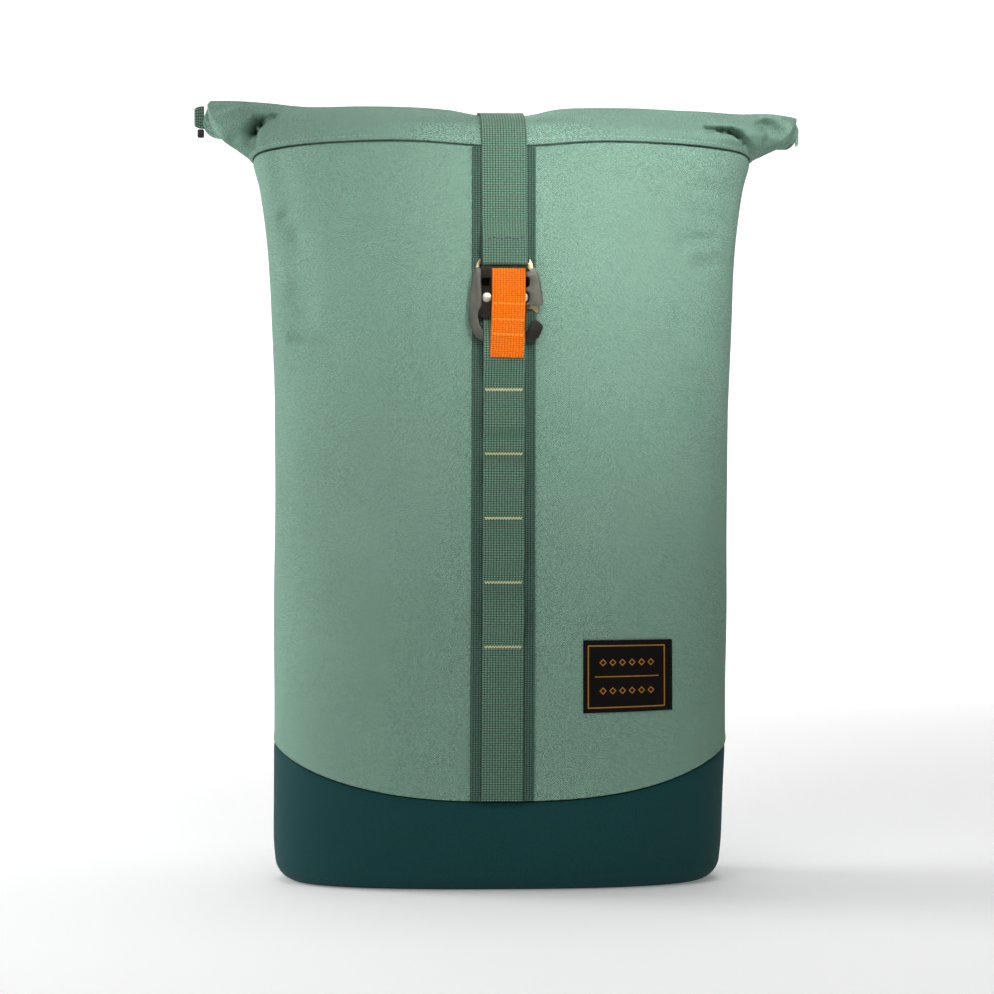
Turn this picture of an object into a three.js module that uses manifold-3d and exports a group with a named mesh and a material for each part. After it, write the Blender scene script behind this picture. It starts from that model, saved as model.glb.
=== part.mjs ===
// Rolltop backpack. Millimetres, +Z up, the front faces -Y, +X is to the right as seen
// from the front. The origin is the middle of the flat underside.
import * as THREE from 'three';
import { mergeVertices } from 'three/addons/utils/BufferGeometryUtils.js';
import Module from 'manifold-3d';

const wasm = await Module();
wasm.setup();

// Named sizes.
const GAP = 0.3; // clearance between pieces that lie against each other
const BODY_WIDTH = 282; // side to side at half height
const BODY_DEPTH = 150; // front to back at half height
const SEAM_HEIGHT = 442; // collar seam at the sides
const SEAM_RISE = 8; // how much higher the collar seam runs in front and behind
const SEAM_PINCH = 4; // dip of the collar seam under the closure strap
const BASE_HEIGHT = 54.5; // base seam at the middle of the front
const BASE_RISE = 32.5; // how much higher it runs at the sides
const BASE_CORNER = 13; // radius of the lower edge
const BODY_WALL = 2;
const BASE_WALL = 2.2;
const COLLAR_WALL = 1.2;
const COLLAR_SLIT = 0.3; // room between the two layers once they lie flat
const ROLL_TOP = 478; // top of the roll
const ROLL_HEIGHT = 28; // height of the roll's oval section
const ROLL_DEPTH = 35; // front to back size of the roll's oval section
const ROLL_WIDTH = 365; // end to end
const ROLL_SHIFT = 2; // how far the roll's middle lies to the right
const ROLL_PITCH = 3.55; // step from one turn to the next
const ROLL_TURNS = 2;
const ROLL_BACK = 2; // how far the roll's middle lies behind the bag's middle
const WEB = 1.5; // thickness of flat webbing
const BACKING_WIDTH = 38;
const LADDER_WIDTH = 25;
const LADDER_PITCH = 38.2; // from one tack to the next
const LADDER_FIRST = 147; // height of the lowest tack
const LADDER_LOOPS = 4; // free loops under the hooked one
const LADDER_TOP_LOOP = 43.4; // length of the loop that holds the hook
const LOOP_BULGE = 6.4; // how far a free loop stands off
const TOP_LOOP_BULGE = 10.4;
const TACK = 3; // height of a tack
const WEB_LEAN = -1.6; // sideways shift of the front webbing at its lower end
const STRAP_WIDTH = 27;
const STRAP_WEB = 1.6;
const STRAP_BACK_END = 392; // height of the strap's sewn end behind
const STRAP_LOOP_END = 389; // height of the stitched end of its buckle loop
const STRAP_EASE = 0.35; // room between the strap and the collar under it
const PLATE = 3.2; // thickness of the buckle's body
const PLATE_BOTTOM = 328.5;
const PLATE_TOP = 379.4;
const PLATE_WIDTH = 45;
const BAR = 3; // height of the bar that the strap goes round
const SLOT = 2.7; // height of the slot under it
const RIVET_X = 10.8;
const RIVET_Z = 354.5;
const RIVET_R = 3;
const SHANK_R = 1.4;
const RIVET_HEAD = 0.9;
const LEVER = 1; // thickness of a lever
const LEVER_WIDTH = 10; // unit of the levers' outlines
const TAB_WIDTH = 20;
const TAB_WEB = 1.5;
const TAB_TOP = 371.5;
const TAB_BOTTOM = 319;
const TAB_SHIFT = 2; // the tab hangs this far to the right of the middle
const WINDOW_DROP = 5.5; // from the tab's top to the top of the window behind it
const WINDOW_HEIGHT = 4.5;
const WINDOW_SIDE = 3.4; // the window shows this much beside the tab
const LABEL_WIDTH = 54;
const LABEL_HEIGHT = 43;
const LABEL_X = 74;
const LABEL_Z = 129;
const LABEL_THICK = 1;
const LABEL_EASE = 0.2; // extra room under the label, which bridges the canvas
const PAD_WIDTH = 58; // shoulder strap
const PAD_THICK = 10;
const PAD_TOP = 402;
const PAD_BOTTOM = 168;
const PAD_STANDOFF = 34; // widest gap between a shoulder strap and the back
const PAD_X = 44; // middle of a shoulder strap at its upper end
const PAD_SPREAD = 34; // how far it runs outward to its lower end
const LOWER_WEB = 25;
const LOWER_END = 84; // height of the sewn end of the lower webbing
const LOWER_END_X = 0.383 * BODY_WIDTH; // its distance from the middle
const LOWER_RISE = 14; // how far it lies flat on the canvas
const TAIL = 70; // free end of the lower webbing
const TAIL_SWING = 4; // how far that end hangs outward
const LOCK_HEIGHT = 26;
const LOCK_THICK = 4.5;
const LOCK_BAR = 4;
const LOCK_RIM = 4;
const LOCK_CORNER = 2;
const HANDLE_SPAN = 110;
const HANDLE_WIDTH = 25;
const HANDLE_WEB = 2.4;
const HANDLE_RISE = 30;
const HANDLE_Z = 425;
const SEAT_EASE = 0.4; // extra room under what is sewn to the rounded back
const ROLL_TAB = 14; // height of the webbing tab at the left end of the roll
const ROLL_TAB_OUT = 6.5;
const ROLL_TAB_THICK = 3.2;
const RIGHT_TAB = 12;
const RIGHT_TAB_OUT = 2.2;
const SNAP = 5.4; // small black fitting
const SNAP_OUT = 4.2;

// Side outline and depth of the bag, as shares of half the width and half the depth,
// against height as a share of the collar seam's height.
const OUTLINE = [
  { h: 0.0, left: 0.972, right: 0.957, front: 0.93, back: 0.93 },
  { h: 0.05, left: 0.986, right: 0.972, front: 0.97, back: 0.95 },
  { h: 0.12, left: 0.986, right: 0.982, front: 1.0, back: 0.96 },
  { h: 0.2, left: 0.986, right: 0.993, front: 1.02, back: 0.97 },
  { h: 0.39, left: 0.989, right: 1.0, front: 1.035, back: 0.98 },
  { h: 0.64, left: 0.982, right: 1.007, front: 1.02, back: 0.98 },
  { h: 0.78, left: 1.0, right: 1.021, front: 0.99, back: 0.97 },
  { h: 0.84, left: 1.007, right: 1.028, front: 0.97, back: 0.96 },
  { h: 0.9, left: 1.021, right: 1.043, front: 0.95, back: 0.95 },
  { h: 0.965, left: 1.05, right: 1.071, front: 0.93, back: 0.93 },
  { h: 1.0, left: 1.078, right: 1.099, front: 0.91, back: 0.91 },
  { h: 1.05, left: 1.09, right: 1.11, front: 0.9, back: 0.9 },
];
// Soft dents of the front: place as shares of half the width and of the seam height,
// spread and depth as shares of half the depth.
const DENTS = [
  { x: -0.93, z: 0.82, wide: 0.22, tall: 0.16, deep: 0.04 },
  { x: -0.86, z: 0.745, wide: 0.3, tall: 0.12, deep: 0.04 },
  { x: 0.86, z: 0.93, wide: 0.24, tall: 0.16, deep: 0.035 },
  { x: 0.88, z: 0.76, wide: 0.3, tall: 0.14, deep: 0.045 },
  { x: 0.9, z: 0.68, wide: 0.3, tall: 0.13, deep: 0.035 },
];
// Line of the roll along its length: x as a share of its half width, lift and push
// backward as shares of the roll's height, tall as a share of the turns' height.
const ROLL_LINE = [
  { at: -1.0, lift: 0.17, push: 0.0, tall: 0.88 },
  { at: -0.93, lift: 0.15, push: 0.03, tall: 0.93 },
  { at: -0.82, lift: 0.09, push: 0.11, tall: 1.0 },
  { at: -0.66, lift: -0.01, push: 0.0, tall: 1.0 },
  { at: -0.45, lift: 0.03, push: -0.03, tall: 1.0 },
  { at: -0.2, lift: -0.04, push: 0.0, tall: 1.0 },
  { at: -0.075, lift: -0.17, push: 0.03, tall: 1.0 },
  { at: 0.075, lift: -0.17, push: 0.03, tall: 1.0 },
  { at: 0.2, lift: -0.02, push: 0.0, tall: 1.0 },
  { at: 0.45, lift: 0.0, push: -0.03, tall: 1.0 },
  { at: 0.66, lift: -0.05, push: 0.0, tall: 1.0 },
  { at: 0.82, lift: -0.08, push: 0.1, tall: 0.95 },
  { at: 0.93, lift: -0.03, push: 0.03, tall: 0.86 },
  { at: 1.0, lift: -0.06, push: 0.0, tall: 0.8 },
];
// The collar between its seam and the roll. front: share of the way from the seam to the
// roll; rise: share of the climb; turn: where the back layer lies on the roll, degrees
// (0 in front, 90 on top); spread: share of the way to the roll's width; round: how
// round the loop still is.
const ROLL_START = 50;
const FULL_TURN = 360;
const COLLAR = [
  { front: 0.14, rise: 0.42, turn: null, spread: 0.3, round: 0.7, side: 0.36 },
  { front: 0.36, rise: 0.66, turn: -84, spread: 0.6, round: 0.5, side: 0.55 },
  { front: 0.6, rise: 0.83, turn: -40, spread: 0.85, round: 0.32, side: 0.8 },
  { front: 0.82, rise: 0.95, turn: 8, spread: 0.96, round: 0.14, side: 1.0 },
];
// A shoulder strap along its length: down as a share of its height, off as a share of the
// standoff, out as a share of the spread, wide and thick as shares of its full section.
const PAD_LINE = [
  { down: 0.0, off: 0.0, out: 0.0, wide: 0.82, thick: 0.6 },
  { down: 0.03, off: 0.3, out: 0.0, wide: 0.9, thick: 0.85 },
  { down: 0.1, off: 0.68, out: 0.03, wide: 1.0, thick: 1.0 },
  { down: 0.24, off: 0.95, out: 0.1, wide: 1.0, thick: 1.0 },
  { down: 0.42, off: 1.0, out: 0.26, wide: 1.0, thick: 1.0 },
  { down: 0.6, off: 0.93, out: 0.5, wide: 0.98, thick: 1.0 },
  { down: 0.78, off: 0.78, out: 0.74, wide: 0.86, thick: 1.0 },
  { down: 0.92, off: 0.62, out: 0.92, wide: 0.66, thick: 0.9 },
  { down: 1.0, off: 0.52, out: 1.0, wide: 0.52, thick: 0.6 },
];

const SECTION = 2.5; // exponent of the bag's rounded section
const AROUND = 48; // points round the bag
const ROLL_AROUND = 28; // points round the flattened collar
const V = (x, y, z) => new THREE.Vector3(x, y, z);
const rad = THREE.MathUtils.degToRad;

// Smooth value of one column of a table against another.
function read(table, key, column, at) {
  const rows = table;
  if (at <= rows[0][key]) return rows[0][column];
  for (let i = 1; i < rows.length; i++) {
    if (at <= rows[i][key]) {
      const a = rows[i - 1];
      const b = rows[i];
      const t = (at - a[key]) / (b[key] - a[key]);
      const s = t * t * (3 - 2 * t) * 0.5 + t * 0.5;
      return a[column] + (b[column] - a[column]) * s;
    }
  }
  return rows[rows.length - 1][column];
}

// Value on a polyline of [z, value] pairs sorted by z.
function along(line, z) {
  let i = 1;
  while (i < line.length - 1 && line[i][0] < z) i++;
  const [z0, v0] = line[i - 1];
  const [z1, v1] = line[i];
  return v0 + ((v1 - v0) * (z - z0)) / (z1 - z0);
}

const angles = (n) => Array.from({ length: n }, (_, i) => ((i + 0.5) * 2 * Math.PI) / n);

// Point of the bag's outer surface at an angle (0 left, 90 degrees front) and a height.
function bagPoint(angle, z, inset = 0) {
  const h = z / SEAM_HEIGHT;
  const c = Math.cos(angle);
  const s = Math.sin(angle);
  const side = (BODY_WIDTH / 2) * read(OUTLINE, 'h', c > 0 ? 'left' : 'right', h) - inset;
  const deep = (BODY_DEPTH / 2) * read(OUTLINE, 'h', s > 0 ? 'front' : 'back', h) - inset;
  const x = -Math.sign(c) * side * Math.abs(c) ** (2 / SECTION);
  let y = -Math.sign(s) * deep * Math.abs(s) ** (2 / SECTION);
  if (s > 0) {
    for (const d of DENTS) {
      const u = (x / (BODY_WIDTH / 2) - d.x) / d.wide;
      const v = (z - d.z * SEAM_HEIGHT) / ((d.tall * BODY_DEPTH) / 2);
      y += (BODY_DEPTH / 2) * d.deep * Math.exp(-u * u - v * v) * s;
    }
  }
  return V(x, y, z);
}

const baseSeam = (angle) =>
  BASE_HEIGHT + BASE_RISE * (1 - (Math.abs(Math.sin(angle)) ** (2 / SECTION)) ** 1.8);

function collarSeam(angle) {
  const s = Math.sin(angle);
  const d = Math.abs(s) ** (2 / SECTION);
  const x = Math.cos(angle) / 0.2;
  const pinch = s > 0 ? SEAM_PINCH * Math.exp(-x * x) : 0;
  return SEAM_HEIGHT + SEAM_RISE * d ** 0.7 - pinch;
}

// Rings of points become one closed skin. A ring of one point is a pole.
function skin(rings, { loop = false, caps = false } = {}) {
  const pos = [];
  const index = [];
  const rows = rings.map((ring) => ring.map((p) => pos.push(p.x, p.y, p.z) / 3 - 1));
  const at = (i) => V(pos[3 * i], pos[3 * i + 1], pos[3 * i + 2]);
  const stitch = (a, b) => {
    if (a.length === 1 || b.length === 1) {
      const [pole, ring, flip] = a.length === 1 ? [a[0], b, false] : [b[0], a, true];
      ring.forEach((p, i) => {
        const q = ring[(i + 1) % ring.length];
        index.push(...(flip ? [p, q, pole] : [pole, q, p]));
      });
      return;
    }
    if (a.length === b.length) {
      a.forEach((p, i) => {
        const j = (i + 1) % a.length;
        const short = at(p).distanceTo(at(b[j])) < at(a[j]).distanceTo(at(b[i]));
        if (short) index.push(p, a[j], b[j], p, b[j], b[i]);
        else index.push(p, a[j], b[i], a[j], b[j], b[i]);
      });
      return;
    }
    let i = 0;
    let j = 0;
    while (i < a.length || j < b.length) {
      const nextA = (i + 1.5) / a.length;
      const nextB = (j + 1.5) / b.length;
      const p = a[i % a.length];
      const q = b[j % b.length];
      if (j >= b.length || (i < a.length && nextA <= nextB)) {
        index.push(p, a[(i + 1) % a.length], q);
        i++;
      } else {
        index.push(p, b[(j + 1) % b.length], q);
        j++;
      }
    }
  };
  for (let k = 1; k < rows.length; k++) stitch(rows[k - 1], rows[k]);
  if (loop) stitch(rows[rows.length - 1], rows[0]);
  if (caps) {
    const first = rows[0];
    const last = rows[rows.length - 1];
    for (let i = 1; i < first.length - 1; i++) {
      index.push(first[0], first[i + 1], first[i]);
      index.push(last[0], last[i], last[i + 1]);
    }
  }
  let volume = 0;
  for (let i = 0; i < index.length; i += 3) {
    volume += at(index[i]).dot(at(index[i + 1]).cross(at(index[i + 2])));
  }
  if (volume < 0) {
    for (let i = 0; i < index.length; i += 3) {
      [index[i], index[i + 1]] = [index[i + 1], index[i]];
    }
  }
  const g = new THREE.BufferGeometry();
  g.setAttribute('position', new THREE.Float32BufferAttribute(pos, 3));
  g.setIndex(index);
  g.computeVertexNormals();
  return g;
}

// Inner faces of a cloth: each ring point moved inward by the wall, mitred at corners.
// A level rim is cut flat, so that it meets its neighbour's rim along the seam.
function inward(rings, wall, levelFirst = false, levelLast = false) {
  const probe = (ring, f) => {
    const n = ring.length;
    if (n === 1) return ring[0];
    const u = ((f % 1) + 1) % 1;
    const g = u * n - 0.5;
    const i = Math.floor(g);
    return ring[(i + n) % n].clone().lerp(ring[(i + 1 + n) % n], g - i);
  };
  return rings.map((ring, k) =>
    ring.map((p, i) => {
      if (ring.length === 1) return p.clone().add(V(0, 0, k === 0 ? wall : -wall));
      const n = ring.length;
      const a = ring[(i + n - 1) % n];
      const b = ring[(i + 1) % n];
      const f = (i + 0.5) / n;
      const up = k > 0 ? p.clone().sub(probe(rings[k - 1], f)).normalize() : V(0, 0, 0);
      const on = k + 1 < rings.length ? probe(rings[k + 1], f).sub(p).normalize() : V(0, 0, 0);
      const lengthwise = up.clone().add(on).normalize();
      const before = p.clone().sub(a).normalize();
      const after = b.clone().sub(p).normalize();
      const round = before.clone().add(after).normalize();
      const normal = lengthwise.clone().cross(round).normalize();
      const mitre = Math.max(before.dot(round), 0.65) * (up.lengthSq() && on.lengthSq()
        ? Math.max(up.dot(lengthwise), 0.7) : 1);
      if ((levelFirst && k === 0) || (levelLast && k === rings.length - 1)) {
        const flat = V(normal.x, normal.y, 0);
        return p.clone().addScaledVector(flat.normalize(), wall / mitre);
      }
      return p.clone().addScaledVector(normal, wall / mitre);
    }),
  );
}

// A cloth of given wall whose outer faces are the rings: open at both ends.
const sleeve = (rings, wall, levelLast) =>
  skin([...rings, ...inward(rings, wall, true, levelLast).reverse()], { loop: true });

// A flat band along a line of points, each the middle of its section. The width runs along
// the across vector, one for the whole band or one for each point.
function band(line, thick, half, acrossRows = V(1, 0, 0)) {
  const rings = line.map((p, i) => {
    const across = Array.isArray(acrossRows) ? acrossRows[i] : acrossRows;
    const a = line[Math.max(i - 1, 0)];
    const b = line[Math.min(i + 1, line.length - 1)];
    const t1 = p.clone().sub(a);
    const t2 = b.clone().sub(p);
    const t = t1.lengthSq() ? t1.clone().normalize() : V(0, 0, 0);
    const u = t2.lengthSq() ? t2.clone().normalize() : V(0, 0, 0);
    const run = t.clone().add(u).normalize();
    const side = across.clone().addScaledVector(run, -across.dot(run)).normalize();
    const out = side.clone().cross(run).normalize();
    const mitre = t.lengthSq() && u.lengthSq() ? Math.max(t.dot(run), 0.7) : 1;
    const w = side.multiplyScalar(half);
    const d = out.multiplyScalar(thick / 2 / mitre);
    return [
      p.clone().sub(w).sub(d), p.clone().add(w).sub(d),
      p.clone().add(w).add(d), p.clone().sub(w).add(d),
    ];
  });
  return skin(rings, { caps: true });
}

function toSolid(geometry) {
  const g = geometry.clone();
  g.deleteAttribute('normal');
  g.deleteAttribute('uv');
  const m = mergeVertices(g, 1e-4);
  return new wasm.Manifold(new wasm.Mesh({
    numProp: 3,
    vertProperties: new Float32Array(m.attributes.position.array),
    triVerts: new Uint32Array(m.index.array),
  }));
}

function toGeometry(solid) {
  const m = solid.getMesh();
  const g = new THREE.BufferGeometry();
  g.setAttribute('position', new THREE.Float32BufferAttribute(Array.from(m.vertProperties), 3));
  g.setIndex(Array.from(m.triVerts));
  g.computeVertexNormals();
  return g;
}

// A plate drawn in x and z, from one y to another.
function plate(shape, yFront, yBack, curveSegments = 8) {
  const g = new THREE.ExtrudeGeometry(shape, {
    depth: yBack - yFront, bevelEnabled: false, curveSegments,
  });
  g.rotateX(Math.PI / 2); // drawn y becomes z, the extrusion runs toward -y
  g.translate(0, yBack, 0);
  return g;
}

function outline(points) {
  const s = new THREE.Shape();
  points.forEach(([x, z], i) => (i ? s.lineTo(x, z) : s.moveTo(x, z)));
  s.closePath();
  return s;
}

const backpack = new THREE.Group();
function piece(name, geometry, colour, roughness = 0.9, metalness = 0) {
  const material = new THREE.MeshStandardMaterial({ color: colour, roughness, metalness });
  const m = new THREE.Mesh(geometry, material);
  m.name = name;
  backpack.add(m);
  return m;
}

const CANVAS = 0x86ad98;
const COLLAR_CLOTH = 0x7da792;
const DARK_CANVAS = 0x21454a;
const WEBBING = 0x5e8271;
const DARK_WEBBING = 0x4f6f60;
const BLACK = 0x2c2c2a;
const GOLD = 0xd9bc7a;

// Base: a cup with a flat underside, a rounded lower edge and a curved top seam.
const bagAngles = angles(AROUND);
const baseRings = [[V(0, 0, 0)]];
for (const turn of [0, 30, 60, 90]) {
  const inset = BASE_CORNER * (1 - Math.sin(rad(turn)));
  const z = BASE_CORNER * (1 - Math.cos(rad(turn)));
  baseRings.push(bagAngles.map((a) => bagPoint(a, z, inset)));
}
for (const share of [0.35, 0.7, 1]) {
  baseRings.push(bagAngles.map((a) => {
    const top = baseSeam(a) - GAP / 2;
    return bagPoint(a, BASE_CORNER + (top - BASE_CORNER) * share);
  }));
}
piece('base_shell', skin([...baseRings, ...inward(baseRings, BASE_WALL, false, true).reverse()]),
  DARK_CANVAS);

// Body: a tube of canvas between the two seams.
const BODY_ROWS = [0, 0.1, 0.22, 0.34, 0.46, 0.56, 0.63, 0.7, 0.76, 0.82, 0.88, 0.94, 1];
const bodyHeight = (angle, share) => {
  const low = baseSeam(angle) + GAP / 2;
  return low + (collarSeam(angle) - GAP / 2 - low) * share;
};
const bodyRings = BODY_ROWS.map((h) => bagAngles.map((a) => bagPoint(a, bodyHeight(a, h))));
piece('body_panel', sleeve(bodyRings, BODY_WALL, true), CANVAS);

// Front and back lines of the body in the middle, as [z, y], for what lies on them.
const middle = (rings, i) => rings.map((r) => {
  const p = r[i].clone().lerp(r[i - 1], 0.5);
  return [p.z, p.y];
});
const frontLine = middle(bodyRings, AROUND / 4);
const backLine = middle(bodyRings, (3 * AROUND) / 4);
const frontY = (z) => along(frontLine, z);
const backY = (z) => along(backLine, z);

// Collar: rises from its seam, flattens, and is rolled backward.
const pair = COLLAR_WALL + COLLAR_SLIT / 2; // half thickness of the flat double layer
const rollMid = V(0, ROLL_BACK, ROLL_TOP - ROLL_HEIGHT / 2);
const stretch = (ROLL_DEPTH - ROLL_HEIGHT) / 2;
function rollCurve(turn, offset, tall = 1) {
  const spine = (t) => {
    const r = ROLL_HEIGHT / 2 - pair - (ROLL_PITCH * (t - ROLL_START)) / FULL_TURN;
    return V(0, -(r + stretch) * Math.cos(rad(t)), r * tall * Math.sin(rad(t)));
  };
  const p = spine(turn);
  const t = spine(turn + 1).sub(spine(turn - 1)).normalize();
  return p.addScaledVector(V(0, -t.z, t.y), offset).add(rollMid);
}
const line = (x, column) => ROLL_HEIGHT * read(ROLL_LINE, 'at', column, x);
const tallAt = (x) => read(ROLL_LINE, 'at', 'tall', x);
// Shares of the half width at which the flattened collar has its points.
const ROLL_SHARES = [1, 0.93, 0.82, 0.66, 0.45, 0.2, 0.075];
const shareAt = (i) => {
  const half = ROLL_AROUND / 2;
  const k = i < half ? i : ROLL_AROUND - 1 - i;
  return k < half / 2 ? -ROLL_SHARES[k] : ROLL_SHARES[half - 1 - k];
};
const collarRings = [bagAngles.map((a) => bagPoint(a, collarSeam(a) + GAP / 2))];
const halfSeam = (a) => (BODY_WIDTH / 2) * read(OUTLINE, 'h', Math.cos(a) > 0 ? 'left' : 'right', 1);
const seamFront = bagPoint(Math.PI / 2, collarSeam(0.35 * Math.PI));
const seamBack = bagPoint(-Math.PI / 2, collarSeam(-Math.PI / 2));
COLLAR.forEach((row, k) => {
  const n = k < 1 ? AROUND : ROLL_AROUND;
  collarRings.push(angles(n).map((a, i) => {
    const s = Math.sin(a);
    const c = Math.cos(a);
    const share = n === ROLL_AROUND ? shareAt(i) : -Math.sign(c) * Math.abs(c) ** 0.8;
    const tall = tallAt(share);
    const start = rollCurve(ROLL_START, pair, tall);
    const f = V(0,
      seamFront.y + (start.y - seamFront.y) * row.front,
      seamFront.z + (start.z - seamFront.z) * row.rise);
    const b = row.turn === null
      ? V(0, seamBack.y * 0.5, rollCurve(-90, -pair, tall).z + GAP)
      : rollCurve(row.turn, -pair, tall);
    const half = halfSeam(a) + (ROLL_WIDTH / 2 - halfSeam(a)) * row.spread;
    const d = Math.abs(s) ** row.round;
    const centre = f.clone().lerp(b, 0.5);
    centre.z = SEAM_HEIGHT + (centre.z - SEAM_HEIGHT) * row.side;
    const p = centre.lerp(s > 0 ? f : b, d);
    const settle = (k + 1) / (COLLAR.length + 1);
    return V(half * share + ROLL_SHIFT * row.spread,
      p.y + line(share, 'push') * settle, p.z + line(share, 'lift') * settle);
  }));
});
const OUTER_STEPS = 16; // steps of the first turn, and of each turn inside it
const INNER_STEPS = 12;
const turns = Array.from({ length: OUTER_STEPS + (ROLL_TURNS - 1) * INNER_STEPS + 1 }, (_, i) =>
  ROLL_START + FULL_TURN * (i < OUTER_STEPS ? i / OUTER_STEPS : 1 + (i - OUTER_STEPS) / INNER_STEPS));
// Half the roll's width at a turn: the top and the underside draw in, the back spreads.
const rollHalf = (t) => {
  const s = Math.sin(rad(t));
  const drawn = (s > 0 ? 0.1 : 0.22) * s * s;
  return ROLL_WIDTH / 2 + ROLL_HEIGHT * (0.09 * Math.max(0, -Math.cos(rad(t))) - drawn);
};
for (const t of turns) {
  collarRings.push(angles(ROLL_AROUND).map((a, i) => {
    const share = shareAt(i);
    const p = rollCurve(t, Math.sin(a) > 0 ? pair : -pair, tallAt(share));
    return V(rollHalf(t) * share + ROLL_SHIFT, p.y + line(share, 'push'), p.z + line(share, 'lift'));
  }));
}
piece('collar_roll', sleeve(collarRings, COLLAR_WALL, false), COLLAR_CLOTH);

// Front webbing. off is the distance of a band's middle from the canvas in front.
const lean = (z) => (WEB_LEAN * (SEAM_HEIGHT - z)) / (SEAM_HEIGHT - BASE_HEIGHT);
const frontPoint = (z, off) => V(lean(z), frontY(z) - off, z);
const rowsBetween = (low, high) => [low, ...frontLine.map(([z]) => z).filter((z) => z > low + 2
  && z < high - 2), high];
const webLow = frontLine[0][0] + GAP;
const webHigh = frontLine[frontLine.length - 1][0] - GAP;
const backingOff = GAP + WEB / 2;
const backingFace = GAP + WEB; // front face of the backing, out from the canvas
piece('backing_webbing', band(
  rowsBetween(webLow, webHigh).map((z) => frontPoint(z, backingOff)), WEB, BACKING_WIDTH / 2,
), DARK_WEBBING);

const tacks = Array.from({ length: LADDER_LOOPS + 1 }, (_, i) => LADDER_FIRST + LADDER_PITCH * i);
tacks.push(tacks[tacks.length - 1] + LADDER_TOP_LOOP);
const ladderOff = backingFace + GAP + WEB / 2;
const ladderLine = rowsBetween(webLow, LADDER_FIRST - TACK).map((z) => frontPoint(z, ladderOff));
tacks.forEach((z, i) => {
  ladderLine.push(frontPoint(z - TACK / 2, ladderOff), frontPoint(z + TACK / 2, ladderOff));
  if (i === tacks.length - 1) return;
  const low = z + TACK / 2;
  const high = tacks[i + 1] - TACK / 2;
  const bulge = i === LADDER_LOOPS ? TOP_LOOP_BULGE : LOOP_BULGE;
  for (const t of [0.06, 0.18, 0.35, 0.5, 0.65, 0.82, 0.94]) {
    const out = bulge * Math.sin(Math.PI * t) ** 0.6;
    ladderLine.push(frontPoint(low + (high - low) * t, ladderOff + out));
  }
});
piece('ladder_webbing', band(ladderLine, WEB, LADDER_WIDTH / 2), WEBBING);

// Buckle planes, out from the canvas: lever, strap's back run, plate, strap's front run.
const leverBack = backingFace + GAP;
const runBack = leverBack + LEVER + GAP;
const plateBack = runBack + STRAP_WEB + GAP;
const plateFront = plateBack + PLATE;
const runFront = plateFront + GAP;
const plateY = Math.min(...[PLATE_BOTTOM, RIVET_Z, PLATE_TOP, STRAP_LOOP_END].map(frontY));
const at = (x, off, z) => V(x, plateY - off, z);

// Closure strap: sewn behind, over the roll, down the front, round the buckle's bar.
const strapMid = STRAP_WEB / 2;
const strapLine = [];
const backTop = backLine[backLine.length - 1][0];
for (const z of [STRAP_BACK_END, (STRAP_BACK_END + backTop) / 2, backTop]) {
  strapLine.push(V(0, backY(z) + GAP + strapMid, z));
}
strapLine.push(V(0, seamBack.y * 0.97 + GAP + strapMid, backTop + STRAP_WIDTH * 0.22));
const sag = line(0, 'lift');
const push = line(0, 'push');
const OVER_ROLL = [135, 112, 90, 68]; // degrees of turn at which the strap bends over it
for (const t of OVER_ROLL) {
  strapLine.push(rollCurve(t, pair + GAP + STRAP_EASE + strapMid).add(V(0, push, sag)));
}
const frontRun = collarRings.slice(0, 6).map((r) => {
  const i = r.length / 4;
  return r[i].clone().lerp(r[i - 1], 0.5).setX(0);
}).reverse();
frontRun.forEach((p, i) => {
  const a = frontRun[Math.max(i - 1, 0)];
  const b = frontRun[Math.min(i + 1, frontRun.length - 1)];
  const t = b.clone().sub(a).normalize();
  const off = i === frontRun.length - 1 ? backingFace + GAP : GAP + STRAP_EASE;
  strapLine.push(p.clone().addScaledVector(V(0, t.z, -t.y), off + strapMid));
});
const seamLine = frontLine[frontLine.length - 1][0];
const settleZ = STRAP_WIDTH * 0.22; // the strap lies flat this far under the seam
for (const z of [seamLine - settleZ, (seamLine + STRAP_LOOP_END) / 2,
  STRAP_LOOP_END + 2 * settleZ]) {
  strapLine.push(V(0, frontY(z) - backingFace - GAP - strapMid, z));
}
const bendZ = PLATE_TOP - BAR - GAP - strapMid; // the strap under the bar
strapLine.push(at(0, runFront + strapMid, STRAP_LOOP_END - BAR));
strapLine.push(at(0, runFront + strapMid, bendZ), at(0, runBack + strapMid, bendZ));
strapLine.push(at(0, runBack + strapMid, STRAP_LOOP_END - 1.7 * BAR));
piece('closure_strap', band(strapLine, STRAP_WEB, STRAP_WIDTH / 2), WEBBING);

// Buckle body: a cast plate with a strap bar at the top and an open hook at the bottom.
const w = PLATE_WIDTH / 2;
const span = PLATE_TOP - PLATE_BOTTOM;
const P = (x, z) => [x * w, PLATE_BOTTOM + z * span];
const plateShape = outline([
  P(-0.8, 0.95), P(-0.74, 1.0), P(0.74, 1.0), P(0.8, 0.95), P(0.82, 0.84), P(1.0, 0.78),
  P(1.02, 0.66), P(0.9, 0.5), P(0.62, 0.38), P(-0.62, 0.38), P(-0.64, 0.16), P(-0.6, 0.115),
  P(0.6, 0.115), P(0.64, 0.16), P(0.66, 0.26), P(0.8, 0.27), P(0.98, 0.24), P(1.0, 0.1),
  P(0.9, 0.02), P(0.7, 0.0), P(-0.5, 0.0), P(-0.78, 0.03), P(-0.93, 0.14), P(-1.0, 0.34),
  P(-1.0, 0.5), P(-0.96, 0.66), P(-0.88, 0.8),
]);
const slotLow = PLATE_TOP - BAR - SLOT;
const hole = (x0, z0, x1, z1) => outline([[x0, z0], [x1, z0], [x1, z1], [x0, z1]]);
const strapSlot = STRAP_WIDTH / 2 + GAP;
plateShape.holes.push(hole(-strapSlot, slotLow, strapSlot, slotLow + SLOT));
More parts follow.
